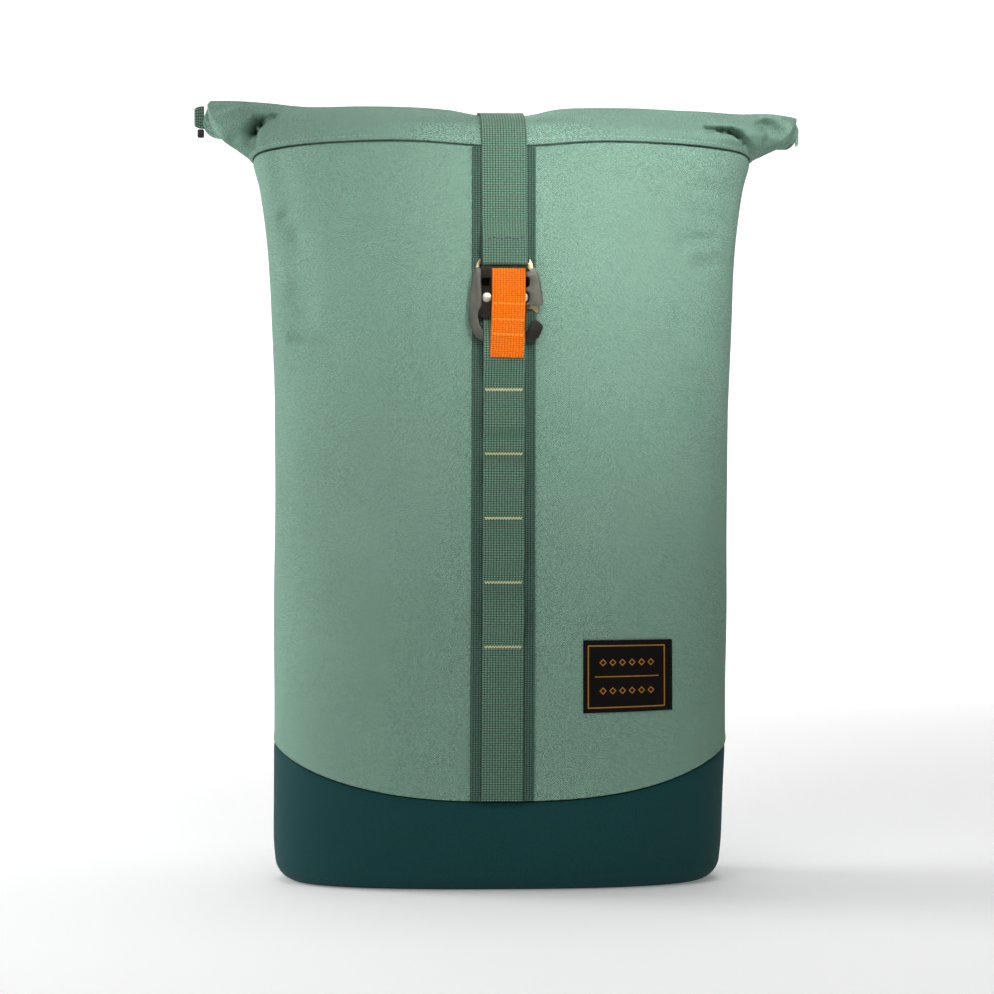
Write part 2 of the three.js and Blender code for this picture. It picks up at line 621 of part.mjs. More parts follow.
const windowTop = TAB_TOP - WINDOW_DROP;
const windowHalf = TAB_WIDTH / 2 + WINDOW_SIDE;
plateShape.holes.push(hole(TAB_SHIFT - windowHalf, windowTop - WINDOW_HEIGHT,
  TAB_SHIFT + windowHalf, windowTop));
const body = toSolid(plate(plateShape, plateY - plateFront, plateY - plateBack));
const pin = (x, r, off0, off1, sides = 16) => {
  const g = new THREE.CylinderGeometry(r, r, off1 - off0, sides);
  g.translate(x, plateY - (off0 + off1) / 2, RIVET_Z);
  return g;
};
const bored = [-1, 1].reduce((solid, side) =>
  solid.subtract(toSolid(pin(side * RIVET_X, SHANK_R + GAP, plateBack - PLATE,
    plateFront + PLATE))), body);
piece('buckle_body', toGeometry(bored), BLACK, 0.42, 0.6);

// Levers behind the plate, each turning on a rivet; ears stand out beside the strap. The
// outlines are in lever widths from the rivet, outward and up.
const EAR = [
  [-0.34, 0.15], [-0.1, 0.8], [0.16, 1.6], [0.2, 2.44], [0.64, 2.44], [0.67, 1.85],
  [0.52, 1.2], [0.4, 0.2],
];
const SHORT_FOOT = [[0.34, -0.15], [0.09, -0.34], [-0.32, -0.32]];
const LONG_FOOT = [[0.96, -0.55], [0.86, -0.93], [0.32, -0.93], [-0.05, -0.44], [-0.34, -0.3]];
for (const side of [-1, 1]) {
  const name = side < 0 ? 'left' : 'right';
  const points = [...EAR, ...(side < 0 ? SHORT_FOOT : LONG_FOOT)].map(([x, z]) =>
    [side * (RIVET_X + x * LEVER_WIDTH), RIVET_Z + z * LEVER_WIDTH]);
  const shape = outline(side < 0 ? points : points.reverse());
  const flat = plate(shape, plateY - leverBack - LEVER, plateY - leverBack);
  const lever = toSolid(flat).subtract(
    toSolid(pin(side * RIVET_X, SHANK_R + GAP, leverBack - LEVER, leverBack + 2 * LEVER)));
  piece(`lever_${name}`, toGeometry(lever), GOLD, 0.3, 0.9);
  const shank = leverBack + LEVER * 0.1;
  const rivet = [[0, shank], [SHANK_R, shank], [SHANK_R, plateFront + GAP],
    [RIVET_R, plateFront + GAP], [RIVET_R, plateFront + GAP + RIVET_HEAD * 0.5],
    [RIVET_R * 0.6, plateFront + GAP + RIVET_HEAD], [0, plateFront + GAP + RIVET_HEAD]];
  const g = new THREE.LatheGeometry(rivet.map(([x, y]) => new THREE.Vector2(x, -y)).reverse(), 16);
  g.translate(side * RIVET_X, plateY, RIVET_Z);
  piece(`rivet_${name}`, toGeometry(toSolid(g)), 0xc9c5bb, 0.35, 0.9);
}

// Pull tab: through the plate's window, down the front of the buckle and over the loop.
const tabMid = TAB_WEB / 2;
const loopFace = ladderOff + WEB / 2 + TOP_LOOP_BULGE + GAP;
const tabNear = plateFront + RIVET_HEAD + GAP * 2;
const tabFar = loopFace + GAP * 1.4;
const tabHang = RIVET_Z - TAB_BOTTOM;
// down and out: shares of the way below the rivets and outward; the tab swings to the left
const tabLine = [
  at(TAB_SHIFT, tabNear + tabMid, TAB_TOP),
  ...[[0, 0], [0.366, 0.7], [0.62, 1.06], [1, 1]].map(([down, out]) =>
    at(TAB_SHIFT * (1 - 0.7 * down), tabNear + (tabFar - tabNear) * out + tabMid,
      RIVET_Z - tabHang * down)),
];
piece('pull_tab', band(tabLine, TAB_WEB, TAB_WIDTH / 2), 0xff6a13, 0.85);

// Label: follows the canvas, on the canvas's own facets.
const xAt = (a) => bagPoint(a, LABEL_Z).x;
const solveAngle = (x) => {
  let [low, high] = [Math.PI / 2, Math.PI];
  for (let i = 0; i < 40; i++) {
    const mid = (low + high) / 2;
    if (xAt(mid) < x) low = mid;
    else high = mid;
  }
  return low;
};
const labelEnds = [LABEL_X - LABEL_WIDTH / 2, LABEL_X + LABEL_WIDTH / 2].map(solveAngle);
const labelAngles = [labelEnds[0], ...bagAngles.filter((a) => a > labelEnds[0] + 0.02
  && a < labelEnds[1] - 0.02), labelEnds[1]];
const facet = (a, z) => {
  const g = a / (2 * Math.PI) * AROUND - 0.5;
  const i = Math.floor(g);
  return bagPoint(bagAngles[i], z).lerp(bagPoint(bagAngles[i + 1], z), g - i);
};
const labelPoint = (a, z, off) => {
  const t = facet(a + 0.01, z).sub(facet(a - 0.01, z)).normalize();
  return facet(a, z).addScaledVector(V(t.y, -t.x, 0), off);
};
const labelLow = LABEL_Z - LABEL_HEIGHT / 2;
const labelHigh = LABEL_Z + LABEL_HEIGHT / 2;
const labelBack = GAP + LABEL_EASE;
const labelFace = labelBack + LABEL_THICK;
piece('label_patch', skin(labelAngles.map((a) => [
  labelPoint(a, labelLow, labelBack), labelPoint(a, labelHigh, labelBack),
  labelPoint(a, labelHigh, labelFace), labelPoint(a, labelLow, labelFace),
]), { caps: true }), 0x1b1715, 0.8);

// Fittings at the ends of the roll.
const BEHIND = 180; // degrees of turn at the back of the roll
const earMid = rollMid.clone().add(V(0, line(-1, 'push'), line(-1, 'lift')));
const earRight = rollMid.clone().add(V(0, line(1, 'push'), line(1, 'lift')));
const tabBack = ROLL_DEPTH / 2 - pair; // middle of the outer turn, behind
const halfDisc = new THREE.Shape();
const tabX = ROLL_SHIFT - rollHalf(BEHIND) - GAP;
const tabZ = earMid.z + ROLL_HEIGHT * 0.14;
halfDisc.moveTo(tabX, tabZ - ROLL_TAB / 2);
halfDisc.lineTo(tabX, tabZ + ROLL_TAB / 2);
halfDisc.lineTo(tabX - ROLL_TAB_OUT * 0.5, tabZ + ROLL_TAB * 0.46);
halfDisc.lineTo(tabX - ROLL_TAB_OUT * 0.9, tabZ + ROLL_TAB * 0.26);
halfDisc.lineTo(tabX - ROLL_TAB_OUT, tabZ);
halfDisc.lineTo(tabX - ROLL_TAB_OUT * 0.9, tabZ - ROLL_TAB * 0.26);
halfDisc.lineTo(tabX - ROLL_TAB_OUT * 0.5, tabZ - ROLL_TAB * 0.46);
halfDisc.closePath();
const tabY = earMid.y + tabBack;
piece('roll_tab_left', plate(halfDisc, tabY - ROLL_TAB_THICK, tabY), WEBBING);
const snapZ = tabZ - ROLL_TAB / 2 - GAP - SNAP / 2;
const snap = outline([
  [tabX, snapZ - SNAP / 2], [tabX, snapZ + SNAP / 2], [tabX - SNAP_OUT * 0.8, snapZ + SNAP / 2],
  [tabX - SNAP_OUT, snapZ + SNAP * 0.3], [tabX - SNAP_OUT, snapZ - SNAP * 0.3],
  [tabX - SNAP_OUT * 0.8, snapZ - SNAP / 2],
]);
piece('roll_snap_left', plate(snap, tabY - ROLL_TAB_THICK, tabY), BLACK, 0.5);
const rightX = ROLL_SHIFT + rollHalf(BEHIND) + GAP;
const rightZ = earRight.z;
piece('roll_tab_right', plate(outline([
  [rightX, rightZ - RIGHT_TAB / 2], [rightX + RIGHT_TAB_OUT, rightZ - RIGHT_TAB * 0.42],
  [rightX + RIGHT_TAB_OUT, rightZ + RIGHT_TAB * 0.42], [rightX, rightZ + RIGHT_TAB / 2],
]), tabY - ROLL_TAB_THICK, tabY), 0x9cb5a4);

// Shoulder straps, their adjusters and lower webbing, on the hidden back.
const backAt = (x, z) => {
  // y of the back canvas at an x and a height, on the canvas's own facets
  for (let i = AROUND / 2; i < AROUND - 1; i++) {
    const a = bagPoint(bagAngles[i], z);
    const b = bagPoint(bagAngles[i + 1], z);
    if ((a.x - x) * (b.x - x) <= 0) return a.lerp(b, (x - a.x) / (b.x - a.x)).y;
  }
  return backY(z);
};
for (const side of [-1, 1]) {
  const name = side < 0 ? 'left' : 'right';
  const drop = PAD_TOP - PAD_BOTTOM;
  const seat = backAt(side * PAD_X, PAD_TOP) + GAP + SEAT_EASE
    + (PAD_THICK * PAD_LINE[0].thick) / 2;
  const pads = PAD_LINE.map((r) => ({
    mid: V(side * (PAD_X + PAD_SPREAD * r.out), seat + PAD_STANDOFF * r.off, PAD_TOP - drop * r.down),
    half: (PAD_WIDTH * r.wide) / 2,
    thick: PAD_THICK * r.thick,
  }));
  const rings = pads.map((r, i) => {
    const a = pads[Math.max(i - 1, 0)].mid;
    const b = pads[Math.min(i + 1, pads.length - 1)].mid;
    const run = b.clone().sub(a).normalize();
    const across = V(1, 0, 0).addScaledVector(run, -run.x).normalize();
    const out = across.clone().cross(run).normalize();
    return [[-1, -0.2], [-0.92, -0.5], [0.92, -0.5], [1, -0.2], [1, 0.2], [0.92, 0.5],
      [-0.92, 0.5], [-1, 0.2]].map(([u, v]) =>
      r.mid.clone().addScaledVector(across, u * r.half).addScaledVector(out, v * r.thick));
  });
  piece(`shoulder_strap_${name}`, skin(rings, { caps: true }), DARK_WEBBING);

  // Adjuster: a plastic frame with two slots, hanging from the pad's lower end.
  const end = pads[pads.length - 1];
  const run = end.mid.clone().sub(pads[pads.length - 2].mid).normalize();
  const tilt = new THREE.Matrix4();
  const across = V(1, 0, 0).addScaledVector(run, -run.x).normalize();
  const out = across.clone().cross(run).normalize();
  tilt.makeBasis(across, run.clone().negate(), across.clone().cross(run.clone().negate()));
  tilt.setPosition(end.mid.clone().addScaledVector(run, GAP));
  const slotHalf = LOWER_WEB / 2 + 3 * GAP;
  const lockHalf = slotHalf + LOCK_RIM;
  const slotHeight = (LOCK_HEIGHT - 3 * LOCK_BAR) / 2;
  const corner = LOCK_CORNER;
  const lowHalf = lockHalf - corner / 2; // the frame narrows a little downward
  const frame = outline([
    [-lockHalf, -corner], [-lockHalf + corner, 0], [lockHalf - corner, 0], [lockHalf, -corner],
    [lowHalf, corner - LOCK_HEIGHT], [lowHalf - corner, -LOCK_HEIGHT],
    [corner - lowHalf, -LOCK_HEIGHT], [-lowHalf, corner - LOCK_HEIGHT],
  ]);
  const lowSlot = -LOCK_HEIGHT + LOCK_BAR;
  frame.holes.push(hole(-slotHalf, lowSlot, slotHalf, lowSlot + slotHeight));
  const highSlot = -LOCK_BAR - slotHeight;
  frame.holes.push(hole(-slotHalf, highSlot, slotHalf, highSlot + slotHeight));
  const lock = new THREE.ExtrudeGeometry(frame, { depth: LOCK_THICK, bevelEnabled: false });
  lock.translate(0, 0, -LOCK_THICK / 2);
  lock.applyMatrix4(tilt);
  piece(`ladder_lock_${name}`, lock, BLACK, 0.5);

  // Lower webbing: from the side of the base seam up, round the adjuster's low bar, and down.
  const local = (down, off) => end.mid.clone().addScaledVector(run, GAP + down)
    .addScaledVector(out, off);
  const webMid = WEB / 2;
  const clear = LOCK_THICK / 2 + GAP + webMid;
  const towardBag = out.y > 0 ? -1 : 1;
  const barTop = LOCK_HEIGHT - LOCK_BAR;
  const anchorX = side * LOWER_END_X;
  const anchor = (z) => V(anchorX, backAt(anchorX, z) + GAP + SEAT_EASE + webMid, z);
  const tail = local(LOCK_HEIGHT + LOCK_BAR, -towardBag * clear);
  const bend = barTop - GAP - webMid;
  const path = [
    anchor(LOWER_END), anchor(LOWER_END + LOWER_RISE),
    local(LOCK_HEIGHT + 2 * LOCK_BAR, towardBag * clear), local(LOCK_HEIGHT, towardBag * clear),
    local(bend, towardBag * clear), local(bend, -towardBag * clear), tail,
    tail.clone().add(V(side * TAIL_SWING / 2, TAIL_SWING / 4, -TAIL * 0.5)),
    tail.clone().add(V(side * TAIL_SWING, -TAIL_SWING / 4, -TAIL)),
  ];
  const reach = LOWER_WEB / 2;
  const lie = V(2 * reach, backAt(anchorX + reach, LOWER_END) - backAt(anchorX - reach, LOWER_END),
    0).normalize();
  const lay = path.map((_, i) => (i < 2 ? lie : across));
  piece(`strap_web_${name}`, band(path, WEB, LOWER_WEB / 2, lay), WEBBING);
}

// Grab handle: a webbing arch over the closure strap, high on the back.
const handleLine = [];
for (let i = 0; i <= 14; i++) {
  const t = i / 14;
  const x = HANDLE_SPAN * (t - 0.5);
  const lift = Math.max(0, Math.sin(Math.PI * Math.min(Math.max((t - 0.1) / 0.8, 0), 1))) ** 0.8;
  const seat = Math.max(backAt(x, HANDLE_Z), backAt(x, HANDLE_Z - HANDLE_WIDTH / 2));
  handleLine.push(V(x, seat + GAP + SEAT_EASE + HANDLE_WEB / 2 + HANDLE_RISE * lift, HANDLE_Z));
}
piece('grab_handle', band(handleLine, HANDLE_WEB, HANDLE_WIDTH / 2, V(0, 0, 1)), DARK_WEBBING);

export default backpack;
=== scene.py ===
import math

import bmesh
import bpy
from mathutils import Matrix, Vector, noise


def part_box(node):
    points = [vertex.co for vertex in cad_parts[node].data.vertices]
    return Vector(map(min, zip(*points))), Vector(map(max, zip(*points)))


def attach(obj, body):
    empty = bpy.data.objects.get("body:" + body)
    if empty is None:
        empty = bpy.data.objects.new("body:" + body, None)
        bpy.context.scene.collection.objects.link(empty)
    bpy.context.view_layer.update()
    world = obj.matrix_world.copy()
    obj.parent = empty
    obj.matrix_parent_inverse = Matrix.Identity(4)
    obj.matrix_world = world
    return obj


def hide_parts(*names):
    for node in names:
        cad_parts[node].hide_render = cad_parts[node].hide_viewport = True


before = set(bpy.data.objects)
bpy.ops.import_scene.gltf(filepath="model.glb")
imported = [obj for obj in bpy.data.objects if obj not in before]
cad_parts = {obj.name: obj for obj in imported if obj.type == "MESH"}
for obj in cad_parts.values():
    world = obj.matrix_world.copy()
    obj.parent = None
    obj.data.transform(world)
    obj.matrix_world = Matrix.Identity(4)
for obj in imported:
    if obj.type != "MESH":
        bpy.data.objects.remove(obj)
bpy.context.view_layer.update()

bl_info = {
    "name": "Rolltop Backpack",
    "version": (1, 0, 0),
    "blender": (4, 5, 0),
    "location": "View3D > Sidebar > Backpack",
    "description": "Makes the cloth, webbing and fittings of a rolltop backpack",
    "category": "Object",
}

MM = 0.001

# Side outline and depth of the bag as shares of half its width and half its depth.
# height (share of the seam's height), left, right, front, back
OUTLINE = (
    (0.0, 0.972, 0.957, 0.93, 0.93),
    (0.05, 0.986, 0.972, 0.97, 0.95),
    (0.12, 0.986, 0.982, 1.0, 0.96),
    (0.2, 0.986, 0.993, 1.02, 0.97),
    (0.39, 0.989, 1.0, 1.035, 0.98),
    (0.64, 0.982, 1.007, 1.02, 0.98),
    (0.78, 1.0, 1.021, 0.99, 0.97),
    (0.84, 1.007, 1.028, 0.97, 0.96),
    (0.9, 1.021, 1.043, 0.95, 0.95),
    (0.965, 1.05, 1.071, 0.93, 0.93),
    (1.0, 1.078, 1.099, 0.91, 0.91),
    (1.05, 1.09, 1.11, 0.9, 0.9),
)
LEFT, RIGHT, FRONT, BACK = 1, 2, 3, 4

# Broad dents of the front: x and z (shares of half the width and of the seam's height),
# wide, tall and deep (shares of half the depth)
DENTS = (
    (-0.93, 0.82, 0.22, 0.16, 0.04),
    (-0.86, 0.745, 0.3, 0.12, 0.04),
    (0.86, 0.93, 0.24, 0.16, 0.035),
    (0.88, 0.76, 0.3, 0.14, 0.045),
    (0.9, 0.68, 0.3, 0.13, 0.035),
)

# Soft creases of the canvas near the sides: from x, z to x, z, half width on the left and
# on the right, depth (mm)
CREASES = (
    (-134, 438, -132, 412, 6, 8, 4.0),
    (-143, 404, -136, 410, 3, 3, -2.5),
    (-136, 410, -133, 414, 3, 3, -2.0),
    (-131, 407, -124, 396, 3, 7, 4.0),
    (-124, 396, -122, 362, 8, 8, 3.0),
    (-141, 358, -130, 364, 3, 3, -2.4),
    (-128, 358, -118, 350, 4, 7, 3.0),
    (-118, 350, -121, 336, 7, 7, 2.0),
    (-138, 335, -130, 330, 2.5, 3, -2.4),
    (-130, 330, -118, 327, 2.5, 3, -2.0),
    (-128, 333, -100, 329, 4, 2.5, 4.0),
    (-130, 319, -98, 320, 4, 4, 3.6),
    (-137, 300, -134, 240, 8, 6, 2.2),
    (122, 423, 140, 421, 5, 4, 2.4),
    (114, 408, 138, 403, 5, 4, 3.0),
    (120, 399, 134, 398, 4, 4, -2.0),
    (112, 391, 126, 391, 6, 3.5, 4.5),
    (116, 383, 124, 383, 3.5, 3.5, -2.4),
    (118, 377, 134, 379, 4, 4, 3.2),
    (104, 352, 116, 350, 6, 6, 2.0),
    (116, 338, 134, 338, 5, 4, 2.4),
    (102, 334, 126, 312, 8, 6, 2.2),
    (108, 283, 122, 288, 3.5, 4, 3.6),
    (122, 288, 140, 289, 3.5, 4, 3.6),
    (134, 276, 132, 200, 7, 9, 2.4),
    (-20, 440, -34, 398, 5, 5, 1.4),
    (20, 440, 32, 402, 5, 5, 1.4),
    (60, 420, 96, 380, 9, 12, -1.6),
)

# Folds pressed into the rolled collar, in the same columns
PLEATS = (
    (-152, 440, -150, 449, 5.0, 1.2, 13),
    (-150, 449, -149.6, 459, 6.0, 1.2, 13),
    (-149.6, 459, -146.5, 463.5, 4.5, 1.8, 14),
    (-146.5, 463.5, -139, 467, 3.0, 2.2, 9),
    (-177.3, 467.3, -165.6, 471.6, 1.2, 6.0, -3.5),
    (-165.6, 471.6, -157.7, 475.3, 1.2, 6.0, -4.0),
    (-157.7, 475.3, -146.6, 477.7, 1.2, 6.0, -3.5),
    (-171.8, 454.4, -163.8, 455.6, 3.0, 3.0, 3.0),
    (-163.8, 455.6, -157.7, 459.9, 3.0, 3.0, 3.0),
    (120, 456, 130, 455, 3.0, 3.0, 2.5),
    (124, 460.2, 134, 459.4, 1.6, 1.6, 7),
    (134, 459.4, 140, 458.5, 2.2, 1.6, 10),
    (140, 458.5, 144.5, 456, 2.6, 1.6, 11),
    (144.5, 456, 149, 452, 2.8, 1.6, 11),
    (149, 452, 152, 448.5, 2.6, 1.6, 10),
    (152, 448.5, 153.2, 444, 2.2, 1.6, 8),
    (158.5, 464, 164.5, 466.5, 3.5, 3.5, 8),
    (164.5, 466.5, 171, 460.5, 4.0, 3.5, 8),
    (163.5, 461, 161.5, 450, 5.0, 1.2, 7),
    (-30, 455, -15, 460, 4.0, 3.0, 4.0),
    (-26, 462, -14, 468, 2.5, 2.5, -2.0),
    (17, 456, 20, 463, 3.5, 3.5, 3.5),
    (19, 461, 31, 469, 2.0, 3.0, -2.6),
    (31, 469, 46, 463, 3.0, 2.0, -2.4),
)
# Columns of the collar's grid are closer where the folds are: share of the columns, share
# of the way round from the left end
CLOSER = ((0.0, 0.0), (0.05, 0.064), (0.3, 0.15), (0.35, 0.25), (0.4, 0.35), (0.65, 0.436),
          (0.7, 0.5), (1.0, 1.0))

# Line of the roll along its length: x (share of its half width), lift and push backward
# (shares of the roll's height), and how tall its turns stand
ROLL_LINE = (
    (-1.0, 0.17, 0.0, 0.88),
    (-0.93, 0.15, 0.03, 0.93),
    (-0.82, 0.09, 0.11, 1.0),
    (-0.66, -0.01, 0.0, 1.0),
    (-0.45, 0.03, -0.03, 1.0),
    (-0.2, -0.04, 0.0, 1.0),
    (-0.075, -0.17, 0.03, 1.0),
    (0.075, -0.17, 0.03, 1.0),
    (0.2, -0.02, 0.0, 1.0),
    (0.45, 0.0, -0.03, 1.0),
    (0.66, -0.05, 0.0, 1.0),
    (0.82, -0.08, 0.1, 0.95),
    (0.93, -0.03, 0.03, 0.84),
    (1.0, -0.06, 0.0, 0.76),
)
ROLL_SHIFT = 2 * MM
# Points across the flattened collar, as shares of its half width
ROLL_SHARES = (1.0, 0.93, 0.82, 0.66, 0.45, 0.2, 0.075)
# The collar between its seam and the roll: front, rise, turn, spread, round, side
COLLAR = (
    (0.14, 0.42, None, 0.3, 0.7, 0.36),
    (0.36, 0.66, -84, 0.6, 0.5, 0.55),
    (0.6, 0.83, -40, 0.85, 0.32, 0.8),
    (0.82, 0.95, 8, 0.96, 0.14, 1.0),
)
# A shoulder strap along its length: down, off, out, wide, thick (shares)
PAD_LINE = (
    (0.0, 0.0, 0.0, 0.82, 0.6),
    (0.03, 0.3, 0.0, 0.9, 0.85),
    (0.1, 0.68, 0.03, 1.0, 1.0),
    (0.24, 0.95, 0.1, 1.0, 1.0),
    (0.42, 1.0, 0.26, 1.0, 1.0),
    (0.6, 0.93, 0.5, 0.98, 1.0),
    (0.78, 0.78, 0.74, 0.86, 1.0),
    (0.92, 0.62, 0.92, 0.66, 0.9),
    (1.0, 0.52, 1.0, 0.52, 0.6),
)
# Lamps: name, place, aim, width and height, spread (degrees), power (watts)
LAMPS = (
    ("key", (-0.8, -1.9, 1.5), (0, 0, 0.24), (1.1, 1.1), 180, 13.5),
    ("right", (0.2, -1.6, 1.7), (0, 0, 0.3), (0.8, 0.8), 180, 5.8),
    ("glow", (0.3, -1.4, 1.0), (0.09, -0.07, 0.45), (0.2, 0.2), 18, 0.26),
    ("side", (-1.8, 0.5, 0.7), (0, 0, 0.24), (0.8, 1.0), 180, 22),
    ("top", (0.0, 0.2, 2.2), (0, 0, 0.24), (1.6, 1.2), 180, 14),
    ("backdrop", (0.0, 2.4, 2.2), (0, 3.6, 0.8), (3.0, 1.0), 180, 50),
)
# Loops of the ladder from below: where each lies flat again and where it stands out most
# (shares of its height)
LOOPS = ((0.04, 0.45), (0.08, 0.42), (0.28, 0.7), (0.2, 0.45), (0.02, 0.5))
# How far the four lower loops and the long upper one stand out
LOOP_RISE, TOP_LOOP_RISE = 6.4 * MM, 10.4 * MM
# Power of the bag's section, between an ellipse (2) and a box
SECTION = 2.5
# Shares of a cloth's length and width at which its lines are measured
PROBES = (0.12, 0.2, 0.3)
# Points closer than this are merged
MERGE = 1e-6
# Clear space between neighbours, wall of the collar and half the distance of its two layers
GAP = 0.3 * MM
COLLAR_WALL = 1.2 * MM
PAIR = COLLAR_WALL + 0.15 * MM
# The roll: where it starts (degrees), its turns and their distance, its height and depth
ROLL_START = 50.0
ROLL_TURNS = 2
ROLL_PITCH = 3.55 * MM
ROLL_HEIGHT = 28 * MM
ROLL_DEPTH = 35 * MM
# The collar seam rises towards the middle of the front and the back, and is pinched in front
SEAM_RISE, SEAM_PINCH = 8 * MM, 4 * MM
# How far the webbing of the front drifts to the left on its way down to the base seam
FRONT_LEAN = 1.6 * MM
# Thickness of the webbing and of the closure strap, and the face of the backing
WEB = 1.5 * MM
STRAP_WEB = 1.6 * MM
BACKING_FACE = GAP + WEB
# The shoulder straps: x and height of the upper end, then what the shares of PAD_LINE are of
PAD_X, PAD_TOP, PAD_DROP = 0.044, 0.402, 0.234
PAD_OFF, PAD_OUT, PAD_HALF, PAD_THICK = 0.034, 0.034, 0.029, 0.005
PAD_ROWS = 60
# The grab handle: height of its middle, and its length along the back
HANDLE_TOP, HANDLE_LENGTH = 0.425, 0.11
# The sheet under and behind the bag: width, length, front edge, length of its flat part and
# of its bend
SHEET_WIDTH, SHEET_LENGTH, SHEET_FRONT, SHEET_FLAT, SHEET_BEND = 9, 8.0, -2.6, 5.0, 1.4
# The camera: lens (mm), degrees to the left, distance and what it looks at
LENS, AZIMUTH, DISTANCE = 107.9, -2.5, 1.85
TARGET = (-0.0012, 0, 0.236)
# Threads that several rows are sewn with
SAGE_THREAD = ("sage_thread", "#A3BFAF")
WEBBING_THREAD = ("webbing_thread", "#54796A")


class RolltopSizes(bpy.types.PropertyGroup):
    """Sizes of the bag, the same as the frame's."""

    body_width: bpy.props.FloatProperty(
        name="Body width", description="Side to side at half height",
        default=0.282, min=0.1, unit="LENGTH")
    body_depth: bpy.props.FloatProperty(
        name="Body depth", description="Front to back at half height",
        default=0.150, min=0.05, unit="LENGTH")
    seam_height: bpy.props.FloatProperty(
        name="Collar seam", description="Height of the collar seam at the sides",
        default=0.442, min=0.2, unit="LENGTH")
    base_height: bpy.props.FloatProperty(
        name="Base seam", description="Height of the base seam at the middle of the front",
        default=0.0545, min=0.02, unit="LENGTH")
    base_rise: bpy.props.FloatProperty(
        name="Base rise", description="How much higher the base seam runs at the sides",
        default=0.0325, min=0.0, unit="LENGTH")
    roll_top: bpy.props.FloatProperty(
        name="Roll top", description="Height of the top of the roll",
        default=0.478, min=0.2, unit="LENGTH")
    roll_width: bpy.props.FloatProperty(
        name="Roll width", description="End to end of the roll",
        default=0.365, min=0.1, unit="LENGTH")
    thread_gap: bpy.props.FloatProperty(
        name="Canvas thread", description="Spacing of the canvas threads as drawn",
        default=0.0007, min=0.0003, unit="LENGTH")


class RolltopColours(bpy.types.PropertyGroup):
    """sRGB hex colours of the cloth, webbing and fittings."""

    canvas: bpy.props.StringProperty(
        name="Canvas", description="Body canvas", default="#8CAE9C")
    collar: bpy.props.StringProperty(
        name="Collar", description="Collar canvas", default="#87A796")
    base: bpy.props.StringProperty(
        name="Base", description="Coated base cloth", default="#1A4A4A")
    webbing: bpy.props.StringProperty(
        name="Webbing", description="Ladder and strap webbing", default="#5F806D")
    backing: bpy.props.StringProperty(
        name="Backing", description="Wide webbing under the ladder", default="#4A6759")
    tab: bpy.props.StringProperty(
        name="Tab", description="Pull tab webbing", default="#FC7005")
    thread: bpy.props.StringProperty(
        name="Tack thread", description="Thread of the ladder's tacks", default="#DCD9A6")
    label: bpy.props.StringProperty(
        name="Label", description="Woven label ground", default="#141110")
    label_line: bpy.props.StringProperty(
        name="Label line", description="Woven label border", default="#B8812C")


# Shared helpers

def smooth(rows, column, at):
    """Value of a table's column at a place in its first column, without kinks."""
    if at <= rows[0][0]:
        return rows[0][column]
    if at >= rows[-1][0]:
        return rows[-1][column]
    i = next(k for k, row in enumerate(rows) if at <= row[0])
    x0, x1 = rows[i - 1][0], rows[i][0]
    y0, y1 = rows[i - 1][column], rows[i][column]
    before, after = rows[max(i - 2, 0)], rows[min(i + 1, len(rows) - 1)]
    m0 = (y1 - before[column]) / (x1 - before[0]) * (x1 - x0)
    m1 = (after[column] - y0) / (after[0] - x0) * (x1 - x0)
    t = (at - x0) / (x1 - x0)
    return ((2 * t**3 - 3 * t**2 + 1) * y0 + (t**3 - 2 * t**2 + t) * m0
            + (3 * t**2 - 2 * t**3) * y1 + (t**3 - t**2) * m1)


def between(p0, p1, p2, p3, t):
    """A share of the way from p1 to p2 on the smooth curve through four points."""
    return 0.5 * (2 * p1 + (p2 - p0) * t + (2 * p0 - 5 * p1 + 4 * p2 - p3) * t * t
                  + (3 * p1 - p0 - 3 * p2 + p3) * t**3)


def through(points, at):
    """Point of a smooth curve through a list of points, at an index with a fraction."""
    i = min(max(int(at), 0), len(points) - 2)
    near = (points[min(max(k, 0), len(points) - 1)] for k in range(i - 1, i + 3))
    return between(*near, at - i)


def heading(points, i):
    """Direction of a line at one of its points."""
    return (points[min(i + 1, len(points) - 1)] - points[max(i - 1, 0)]).normalized()


def cos_sin(degrees):
    return math.cos(math.radians(degrees)), math.sin(math.radians(degrees))


def crease_depth(rows, x, z):
    """Depth, in metres, that a table of straight creases gives at a place of the front.
    Seen along a crease, its left and its right side may be of different width."""
    total = 0.0
    for x0, z0, x1, z1, left, right, deep in rows:
        a, run = Vector((x0, z0)) * MM, Vector((x1 - x0, z1 - z0)) * MM
        p = Vector((x, z)) - a
        t = min(max(p.dot(run) / run.length_squared, 0.0), 1.0)
        half = left if run.x * p.y - run.y * p.x > 0 else right
        away = (p - run * t).length / (half * MM)
        if away < 3:
            total += deep * MM * math.exp(-away * away)
    return total


